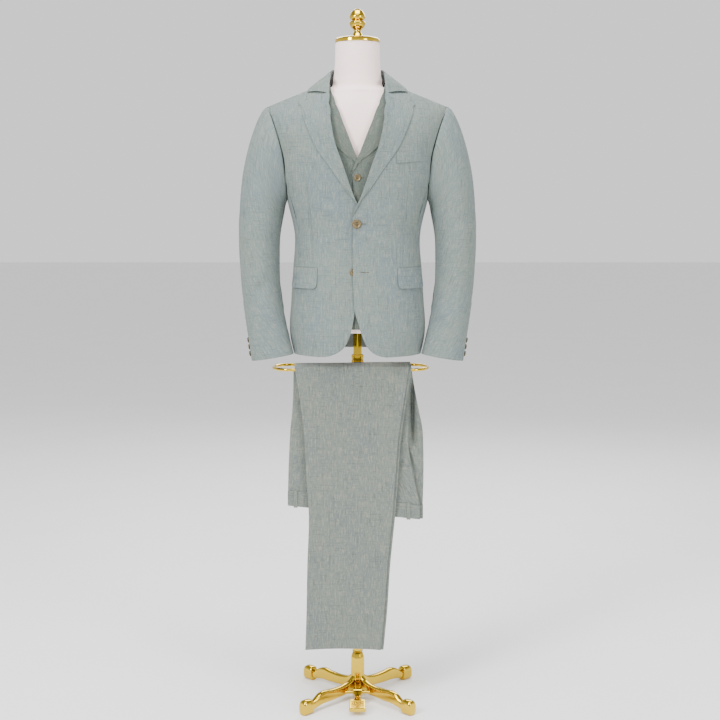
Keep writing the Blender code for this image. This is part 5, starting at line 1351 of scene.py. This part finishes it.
def leg_rows(reach, hips, lean, shift, slack):
    """Rows down a folded leg: height, depth, turn of its outward side, left, right and full thickness."""
    y = -BAR_HALF_DEPTH - reach
    rows = [(row.z, y, 180.0, row.left + shift, row.right + shift) for row in FRONT_LENGTH]
    start, end = FRONT_LENGTH[-1], hips[0]
    for k in range(1, FOLD_STEPS):
        turn, share = 180.0 - 180.0 * k / FOLD_STEPS, k / FOLD_STEPS
        z = BAR_Z + (reach + slack) * sin(radians(turn))
        y = -BAR_HALF_DEPTH + reach * cos(radians(turn))
        left = start.left + (end.left - start.left) * share + shift
        right = start.right + (end.right - start.right) * share + shift
        rows.append((z, y, turn, left, right))
    made = [(*row, LEG_THICKNESS) for row in rows]
    for row in hips:
        down, full = hip_thickness(row.z, hips[-1].z)
        made.append((row.z, -BAR_HALF_DEPTH + reach + lean * down, 0.0, row.left, row.right, full))
    return np.array(made)


def waist_slope(x, z, bottom):
    """The waist seam slopes down to the seat, and the rows above it follow less and less."""
    down = np.clip((BAR_Z - z) / (BAR_Z - bottom), 0.0, 1.0)
    return z - (x - NEAR_LENGTH[-1].left) * BAND_DROP * down**2


def panel_path(left, right, full, front, samples):
    """x and offset from the leg's middle along one panel: outseam, outer side, crease, inner side, inseam."""
    half = full / 2 - TROUSER_CLOTH / 2
    edge, far = (left, OUTSEAM_X - 0.00002) if front else (right, OUTSEAM_X + 0.00002)
    sign = -1.0 if front else 1.0
    bend = edge - sign * half * 1.2
    turns = np.radians(np.linspace(90.0, -90.0, 13))
    curve_x = bend + sign * half * 1.2 * np.cos(turns) ** 0.8
    curve_y = half * np.sin(turns)
    run = far + (bend - far) * samples
    x = np.concatenate((run, curve_x[1:-1], run[::-1]))
    off = np.concatenate((np.full(len(run), half), curve_y[1:-1], np.full(len(run), -half)))
    return x, off


HIP_FOLDS = {
    "near": [
        Fold(0.147, 1.020, 0.141, 0.787, 0.0070, 0.0215, 0.0),
        Fold(0.158, 1.080, 0.128, 0.985, 0.0060, 0.0045, 0.05),
        Fold(-0.150, 1.060, -0.140, 0.900, 0.0120, 0.0020, 0.0),
    ],
    "far": [
        Fold(0.112, 1.075, 0.150, 1.010, 0.0060, 0.0030, 0.05),
        Fold(0.108, 1.045, 0.142, 0.975, 0.0060, 0.0026, 0.05),
    ],
}
HIP_FOLD_SPAN = (0.73, 0.97)
FOLD_TILT = 0.012
HEM_RISE = 0.004
Leg = namedtuple("Leg", "name reach hips lean shift slack")
LEGS = [
    Leg("near", NEAR_REACH, NEAR_LENGTH, 0.0075, 0.0, 0.0065),
    Leg("far", FAR_REACH, FAR_LENGTH, 0.0, FAR_SHIFT, 0.0035),
]

for leg, reach, hips, lean, shift, slack in LEGS:
    table = leg_rows(reach, hips, lean, shift, slack)
    lengths = np.linalg.norm(np.diff(table[:, :2], axis=0), axis=1)
    places = evenly(lengths, 0.0055, 0.0012)
    fine = through(table, places)
    for part in ("front", "back"):
        dense = np.linspace(*HIP_FOLD_SPAN, 16) if part == "back" else ()
        samples = np.unique(np.concatenate((np.linspace(0.0, 1.0, 24), (0.008, 0.02), dense)))
        lines, outs, offsets = [], [], []
        for z, y, turn, left, right, full in fine:
            x, off = panel_path(left, right, full, part == "front", samples)
            out = np.array((0.0, cos(radians(turn)), sin(radians(turn))))
            height = waist_slope(x, z, hips[-1].z) if y > -BAR_HALF_DEPTH else np.full(len(x), z)
            height = height + FOLD_TILT * x * max(sin(radians(turn)), 0.0)
            lines.append(np.stack((x, np.full(len(x), y), height), axis=-1) + out * off[:, None])
            outs.append([out] * len(x))
            offsets.append(off)
        points = np.array(lines)
        normals = grid_normals(points)
        outs, offsets = np.array(outs), np.array(offsets)
        normals *= np.sign(np.sum(normals[:, :20] * outs[:, :20], axis=-1).mean())
        u, v = arc_grain(points)
        grain = (u * (-1.0 if part == "front" else 1.0), v)
        rise = rumpled(points[..., 0], v, TROUSER_FOLDS[leg], 0.0005, TROUSER_SEED + len(leg))
        sides = np.clip(offsets / (np.abs(offsets).max(axis=1, keepdims=True)), -1.0, 1.0)
        rise = rise * np.where(leg == "near", np.maximum(sides, 0.0), 0.3)
        rise += rumpled(points[..., 0], v, HIP_FOLDS[leg], 0.0, 0.0)
        hem_arch = HEM_RISE * np.exp(-((v / 0.05) ** 2)) * (1.0 - ((points[..., 0] + 0.038) / 0.10) ** 2)
        points[..., 2] += np.where(v < 0.12, hem_arch, 0.0)
        dips = seam_dips(points, ("first", "top"), 0.0004, 0.0016)
        outer = points + outs * rise[..., None] - normals * dips[..., None]
        inner = outer - normals * TROUSER_CLOTH
        made = shell(f"trouser_{leg}_{part}_panel", outer, inner, grain, [trouser_linen])
        fitted(made, "stand", "sage_linen", f"trouser_{leg}_{part}")
        cut, area = ((0.33, 1.10), 0.26) if part == "front" else ((0.42, 1.10), 0.32)

# The waistband: a stiffened band sewn to the hips, doubled where the trousers are folded, with belt loops
# stitched over it.
BAND_CLOTH = 0.0018
LOOP_WIDTH = 0.010
LOOP_HEIGHT = 0.046
LOOP_THICKNESS = 0.0016
LOOP_FROM_FRONT = 0.020
LOOP_FROM_SEAT = 0.030
for leg, reach, hips, lean, _, _ in LEGS:
    left, right, bottom = hips[-1].left, hips[-1].right, hips[-1].z
    y = -BAR_HALF_DEPTH + reach + lean
    half = BAND_THICKNESS / 2 - BAND_CLOTH / 2
    turns = np.radians(np.linspace(90.0, -90.0, 13))
    run = np.linspace(left + half, right - half, 64)
    loop_x = np.concatenate((run, right - half + half * np.cos(turns)[1:-1], run[::-1]))
    loop_y = np.concatenate((np.full(64, half), half * np.sin(turns)[1:-1], np.full(64, -half)))
    closing = np.radians(np.linspace(-90.0, -270.0, 13))
    loop_x = np.concatenate((loop_x, left + half + half * np.cos(closing)[1:]))
    loop_y = np.concatenate((loop_y, half * np.sin(closing)[1:]))
    levels = (0.0010 - BAND_HEIGHT, 0.0025 - BAND_HEIGHT, -0.030, -0.020, -0.010, -0.0020, -SEAM)
    points = []
    for level in (-BAND_HEIGHT, *levels):
        z = bottom + level - (loop_x - NEAR_LENGTH[-1].left) * BAND_DROP
        points.append(np.stack((loop_x, y + loop_y, z), axis=-1))
    points = np.array(points)
    normals = grid_normals(points)
    normals *= np.sign(normals[3, 10, 1])
    u, v = arc_grain(points)
    rise = BAND_CLOTH / 2 - seam_dips(points, ("top",), 0.0006, 0.0022)
    band = panel(f"trouser_{leg}_band", points, normals, rise, BAND_CLOTH, (v, u), [trouser_linen])
    fitted(band, "stand", "sage_linen", f"trouser_waistband_{leg}")
    side = 1.0 if leg == "near" else -1.0
    face = y + side * (BAND_THICKNESS / 2 + LAYER_GAP)
    for place, x in (("front", left + LOOP_FROM_FRONT), ("seat", right - LOOP_FROM_SEAT)):
        high = bottom - (x - NEAR_LENGTH[-1].left) * BAND_DROP + 0.003
        points = []
        for share in (0.0, 0.02, 0.06, 0.12, 0.3, 0.5, 0.7, 0.88, 0.94, 0.98, 1.0):
            bow = 0.0006 * sin(pi * share)
            z = high - LOOP_HEIGHT * share
            widths = np.array((-0.5, -0.44, -0.3, 0.0, 0.3, 0.44, 0.5)) * LOOP_WIDTH
            points.append([(x + w, face + side * (LOOP_THICKNESS + bow - 4.0 * w * w), z) for w in widths])
        points = np.array(points)
        inner = points + np.array((0.0, -side * LOOP_THICKNESS, 0.0))
        made = shell(f"trouser_{leg}_loop_{place}", points, inner, arc_grain(points), [trouser_linen])
        fitted(made, "stand", "sage_linen", f"trouser_loop_{leg}_{place}")

# Horn buttons: turned discs with a dished middle and a raised rim, pierced by four holes and sewn on with two
# bars of thread. The jacket's lower button lies under the left front and is smaller.
horn, tree, shader = new_finish("brown horn", Coat_Weight=0.15)
cloud, bands = clouds(tree, 180.0, 4.0, 1.2), clouds(tree, 60.0, 2.0, 2.5)
brown = blended(tree, ranged(tree, bands, 0.35, 0.65, 0.0, 1.0), (0.044, 0.026, 0.007), (0.130, 0.090, 0.029))
brown = blended(tree, ranged(tree, cloud, 0.4, 0.7, 0.0, 0.5), brown, (0.20, 0.15, 0.06))
join(tree, brown, shader.inputs["Base Color"])
join(tree, ranged(tree, cloud, 0.3, 0.7, 0.22, 0.38), shader.inputs["Roughness"])
relief(tree, shader, cloud, 0.15, 0.0002)

thread, tree, shader = new_finish("buttonhole silk", Roughness=0.6)
ply = clouds(tree, 1800.0)
join(tree, blended(tree, ply, (0.050, 0.042, 0.026), (0.120, 0.100, 0.062)), shader.inputs["Base Color"])
relief(tree, shader, ply, 0.5, 0.0002)

ButtonSize = namedtuple("ButtonSize", "radius thickness")
COAT_BUTTON = ButtonSize(0.0120, 0.0034)
LOWER_BUTTON = ButtonSize(0.0103, 0.0023)
WAISTCOAT_BUTTON = ButtonSize(0.0088, 0.0026)
CUFF_BUTTON = ButtonSize(0.0075, 0.0030)
WAISTCOAT_BUTTON_Z = (1.3900, 1.3180, 1.2460, 1.1740, 1.1020)


def horn_disc(size):
    """A button about the origin with its face up, as a mesh with its thread."""
    r, t = size
    profile = [(0.0, 0.58), (0.40, 0.58), (0.56, 0.62), (0.66, 0.80), (0.74, 0.96), (0.84, 1.0), (0.93, 0.90)]
    profile += [(0.99, 0.64), (1.0, 0.45), (0.95, 0.20), (0.80, 0.0), (0.0, 0.0)]
    disc = turned("disc", [(share * r, rise * t) for share, rise in profile], horn, 40)
    hole, away = 0.085 * r, 0.19 * r
    drills = []
    for x in (-away, away):
        for y in (-away, away):
            to = Matrix.Translation((x, y, 0.0))
            drills.append(turned("drill", [(0, 2 * t), (hole, 2 * t), (hole, -t), (0, -t)], horn, 12, to))
    drill = joined("drill", drills)
    cut = disc.modifiers.new("holes", "BOOLEAN")
    cut.object, cut.operation, cut.solver = drill, "DIFFERENCE", "EXACT"
    shaped = bpy.data.meshes.new_from_object(disc.evaluated_get(bpy.context.evaluated_depsgraph_get()))
    bpy.data.objects.remove(drill)
    bpy.data.objects.remove(disc)
    bars = []
    for x in (-away, away):
        path = [(x, y, 0.50 * t + 0.16 * t * cos(pi * y / (2 * away))) for y in np.linspace(-away, away, 7)]
        bars.append(swept("bar", path, 0.055 * r, thread, 8))
    sewn = joined("bars", bars)
    silk = sewn.data
    bpy.data.objects.remove(sewn)
    return shaped, silk


def sewn_button(name, mesh_pair, centre, normal, node):
    """A button lying on the cloth at this point, square to it."""
    axis = Vector(normal).normalized()
    side = Vector((0.0, 0.0, 1.0)).cross(axis).normalized()
    up = axis.cross(side)
    to = Matrix.Translation(Vector(centre)) @ Matrix((side, up, axis)).transposed().to_4x4()
    shape = bmesh.new()
    for finish_index, mesh in enumerate(mesh_pair):
        start = len(shape.faces)
        shape.from_mesh(mesh)
        shape.faces.ensure_lookup_table()
        for face in shape.faces[start:]:
            face.material_index = finish_index
    bmesh.ops.transform(shape, matrix=to, verts=shape.verts)
    made_mesh = bpy.data.meshes.new(name)
    shape.to_mesh(made_mesh)
    shape.free()
    made_mesh.materials.append(horn)
    made_mesh.materials.append(thread)
    made_mesh.set_sharp_from_angle(angle=radians(40.0))
    return fitted(placed(name, made_mesh), "form", "brown_horn", node)


def on_front(layer, x, z, inward=0.0):
    """The point and outward normal of a layer's front at this x and height."""
    angle = np.array(layer.angle_at(x, z))
    normal = layer.normal(angle, np.array(z))
    return layer.around(angle, np.array(z)) - normal * inward, normal


BUTTON_LIFT = 0.0005
front_buttons = [
    ("coat_button_upper", "jacket_button_upper", JACKET, -0.0018, 1.2743, 0.0, COAT_BUTTON),
    ("coat_button_lower", "jacket_button_lower", JACKET, -0.0088, 1.1527, JACKET_UNDERLAP[1], LOWER_BUTTON),
]
for number, z in enumerate(WAISTCOAT_BUTTON_Z, 1):
    names = f"vest_button_{number}", f"waistcoat_button_{number}"
    front_buttons.append((*names, WAISTCOAT, 0.0, z, 0.0, WAISTCOAT_BUTTON))
discs = {size: horn_disc(size) for size in (COAT_BUTTON, LOWER_BUTTON, WAISTCOAT_BUTTON, CUFF_BUTTON)}
for name, node, layer, x, z, inward, size in front_buttons:
    point, normal = on_front(layer, x, z, inward)
    sewn_button(name, discs[size], point + normal * BUTTON_LIFT, normal, node)

CUFF_BUTTON_TURN = -8.0
CUFF_BUTTON_Z = (0.946, 0.962, 0.978)
sleeve_levels = np.array([row.z for row in SLEEVE_ROWS])


def on_sleeve(z, turn):
    """The point and outward normal of the left sleeve at this height and turn round the arm."""

    def point(height, at):
        """The sleeve's point at one height and turn."""
        place = np.interp(-height, -sleeve_levels, np.arange(len(SLEEVE_ROWS)))
        row = through(SLEEVE_ROWS, [place])[0]
        return sleeve_ring((height, *row[1:]), np.array(at))

    run = point(z, turn + 2.0) - point(z, turn - 2.0)
    down = point(z - 0.004, turn) - point(z + 0.004, turn)
    normal = np.cross(run, down)
    return point(z, turn), normal / np.linalg.norm(normal)


for side, sign in (("left", 1.0), ("right", -1.0)):
    flip = np.array((sign, 1.0, 1.0))
    for number, z in enumerate(CUFF_BUTTON_Z, 1):
        point, normal = on_sleeve(z, CUFF_BUTTON_TURN)
        place = (point + normal * BUTTON_LIFT) * flip
        name = f"cuff_button_{side}_{number}"
        sewn_button(f"coat_{name}", discs[CUFF_BUTTON], place, normal * flip, f"jacket_{name}")

# Handwork: buttonholes bound in silk, a line of pick stitches set in from each lapel and front edge, the
# chest darts, and the jettings of the waist pockets and a hip pocket. A geometry node tree lays the stitches.


def stitch_tree():
    """Even stitches along the edges of a mesh: short rounded threads laid end to end."""
    tree = bpy.data.node_groups.new("stitches along a path", "GeometryNodeTree")
    tree.interface.new_socket("Path", in_out="INPUT", socket_type="NodeSocketGeometry")
    for name in ("Spacing", "Length", "Thickness"):
        tree.interface.new_socket(name, in_out="INPUT", socket_type="NodeSocketFloat")
    tree.interface.new_socket("Finish", in_out="INPUT", socket_type="NodeSocketMaterial")
    tree.interface.new_socket("Stitches", in_out="OUTPUT", socket_type="NodeSocketGeometry")
    given, made = tree.nodes.new("NodeGroupInput"), tree.nodes.new("NodeGroupOutput")
    curve = tree.nodes.new("GeometryNodeMeshToCurve")
    spots = add_node(tree, "GeometryNodeCurveToPoints", mode="LENGTH")
    bead = add_node(tree, "GeometryNodeMeshUVSphere", Segments=6, Rings=4, Radius=0.5)
    size = tree.nodes.new("ShaderNodeCombineXYZ")
    laid = tree.nodes.new("GeometryNodeInstanceOnPoints")
    real = tree.nodes.new("GeometryNodeRealizeInstances")
    dressed = tree.nodes.new("GeometryNodeSetMaterial")
    for source, target in (
        (given.outputs["Path"], curve.inputs["Mesh"]),
        (curve.outputs["Curve"], spots.inputs["Curve"]),
        (given.outputs["Spacing"], spots.inputs["Length"]),
        (spots.outputs["Points"], laid.inputs["Points"]),
        (spots.outputs["Rotation"], laid.inputs["Rotation"]),
        (bead.outputs["Mesh"], laid.inputs["Instance"]),
        (given.outputs["Thickness"], size.inputs["X"]),
        (given.outputs["Thickness"], size.inputs["Y"]),
        (given.outputs["Length"], size.inputs["Z"]),
        (size.outputs["Vector"], laid.inputs["Scale"]),
        (laid.outputs["Instances"], real.inputs["Geometry"]),
        (real.outputs["Geometry"], dressed.inputs["Geometry"]),
        (given.outputs["Finish"], dressed.inputs["Material"]),
        (dressed.outputs["Geometry"], made.inputs["Stitches"]),
    ):
        tree.links.new(source, target)
    return tree


STITCHES = stitch_tree()


def stitched(name, paths, spacing, length, thickness, finish, finish_slot):
    """Stitches along each path as one plain mesh."""
    points, edges = [], []
    for path in paths:
        start = len(points)
        points += [tuple(point) for point in path]
        edges += [(start + k, start + k + 1) for k in range(len(path) - 1)]
    mesh = bpy.data.meshes.new(name)
    mesh.from_pydata(points, edges, [])
    guide = placed(name + "_guide", mesh)
    laid = guide.modifiers.new("stitches", "NODES")
    laid.node_group = STITCHES
    values = {"Spacing": spacing, "Length": length, "Thickness": thickness, "Finish": finish}
    for item in STITCHES.interface.items_tree:
        if item.in_out == "INPUT" and item.name in values:
            laid[item.identifier] = values[item.name]
    result = bpy.data.meshes.new_from_object(guide.evaluated_get(bpy.context.evaluated_depsgraph_get()))
    bpy.data.objects.remove(guide)
    if not result.materials:
        result.materials.append(finish)
    return fitted(placed(name, result), "form", finish_slot)


def hole_paths(layer, x, z, long, high, lift):
    """Two close rows of silk round a buttonhole, with a wider eye towards the front edge."""
    paths = []
    for sign in (1.0, -1.0):
        path = []
        for share in np.linspace(0.0, 1.0, 16):
            eye = 0.9 * high * np.exp(-(((share - 0.08) / 0.09) ** 2))
            point, normal = on_front(layer, x + long * share, z + sign * (high * 0.45 + eye))
            path.append(point + normal * lift)
        paths.append(path)
    return paths


BUTTONHOLES = [  # name, layer, x and height of the eye, length, width
    ("coat_buttonhole_upper", JACKET, 0.0106, 1.2743, 0.0120, 0.0010),
    ("coat_buttonhole_lower", JACKET, 0.0060, 1.1527, 0.0230, 0.0010),
    ("vest_buttonhole_1", WAISTCOAT, 0.0092, 1.3900, 0.0075, 0.0009),
    ("vest_buttonhole_2", WAISTCOAT, 0.0092, 1.3180, 0.0075, 0.0009),
]
for name, layer, x, z, long, high in BUTTONHOLES:
    paths = hole_paths(layer, x, z, long, high, 0.0004)
    stitched(name, paths, 0.0008, 0.0011, 0.0009, thread, "brown_horn")

pick_silk, tree, shader = new_finish("pick stitch silk", Roughness=0.65)
ply = clouds(tree, 1500.0, 1.0)
join(tree, blended(tree, ply, (0.24, 0.28, 0.26), (0.36, 0.40, 0.36)), shader.inputs["Base Color"])
PICK_SPACING = 0.0062
PICK_LENGTH = 0.0022
PICK_THICKNESS = 0.0006
for side, left in (("left", True), ("right", False)):
    places = front_tables[side]
    first = BREAK_ROW + 0.4 if left else BREAK_ROW + 1.4
    rows = np.linspace(first, GORGE_ROW - 0.04, 90)
    points, normals = fine_grid(JACKET, places, rows, np.array((2.86,)), not left)
    lapel_line = (points + normals * 0.0024)[:, 0]
    rows = np.linspace(0.5, BREAK_ROW - 0.6, 110)
    points, normals = fine_grid(JACKET, places, rows, np.array((0.16,)), not left)
    if not left:
        points = points - normals * underlap(points, *JACKET_UNDERLAP)
    front_line = (points + normals * 0.0003)[:, 0]
    measures = (PICK_SPACING, PICK_LENGTH, PICK_THICKNESS)
    stitched(f"coat_pick_stitches_{side}", [lapel_line, front_line], *measures, pick_silk, "sage_linen")


def ridged(name, path, normals, width, height, finish, body):
    """A sewn ridge along a path: two soft lips of cloth with a groove between them."""
    path, normals = np.asarray(path), np.asarray(normals)
    run = np.gradient(path, axis=0)
    run /= np.linalg.norm(run, axis=1, keepdims=True)
    side = np.cross(run, normals)
    section = [(-1.0, -0.5), (-0.75, 0.35), (-0.40, 0.9), (-0.14, 0.5), (0.0, -0.4)]
    section += [(-across, rise) for across, rise in section[-2::-1]]
    taper = np.clip(np.minimum(np.arange(len(path)), np.arange(len(path))[::-1]) / 6.0, 0.15, 1.0)[:, None]
    outer = np.stack([path + side * a * width / 2 + normals * b * height * taper for a, b in section], axis=1)
    under = normals * (0.9 * height + 0.0002)
    inner = np.stack([path + side * a * width / 2 - under for a, _ in section], axis=1)
    return fitted(shell(name, outer, inner, arc_grain(outer), [finish], ease=0.0), body, "sage_linen")


DART = [(0.1280, 1.395), (0.1235, 1.330), (0.1180, 1.265), (0.1130, 1.200), (0.1115, 1.168)]
dart = [on_front(JACKET, x, z) for x, z in smoothed(DART, 120)]
angles = np.linspace(FLAP_ANGLES[0] - 0.6, FLAP_ANGLES[1] + 0.6, 60)
levels = np.full(len(angles), FLAP_TOP + 0.0022)
for side, sign in (("left", 1.0), ("right", -1.0)):
    flip = np.array((sign, 1.0, 1.0))
    path = [(point + normal * 0.0001) * flip for point, normal in dart]
    normals = [normal * flip for _, normal in dart]
    ridged(f"coat_dart_{side}", path, normals, 0.0042, 0.0006, suit_linen, "form")
    normals = JACKET.normal(angles, levels) * flip
    path = JACKET.around(angles, levels) * flip + normals * 0.0002
    ridged(f"coat_jetting_{side}", path, normals, 0.0052, 0.0007, suit_linen, "form")

HIP_POCKET_Z = 0.650
HIP_POCKET_X = (0.060, 0.131)
HIP_POCKET_SLOPE = 0.06
hip_face = -BAR_HALF_DEPTH + FAR_REACH - hip_thickness(HIP_POCKET_Z, FAR_LENGTH[-1].z)[1] / 2
path = []
for x in np.linspace(*HIP_POCKET_X, 40):
    path.append((x, hip_face - LAYER_GAP, HIP_POCKET_Z - HIP_POCKET_SLOPE * (x - 0.100)))
ridged("hip_pocket_jetting", path, [(0, -1, 0)] * 40, 0.0070, 0.0014, trouser_linen, "stand")
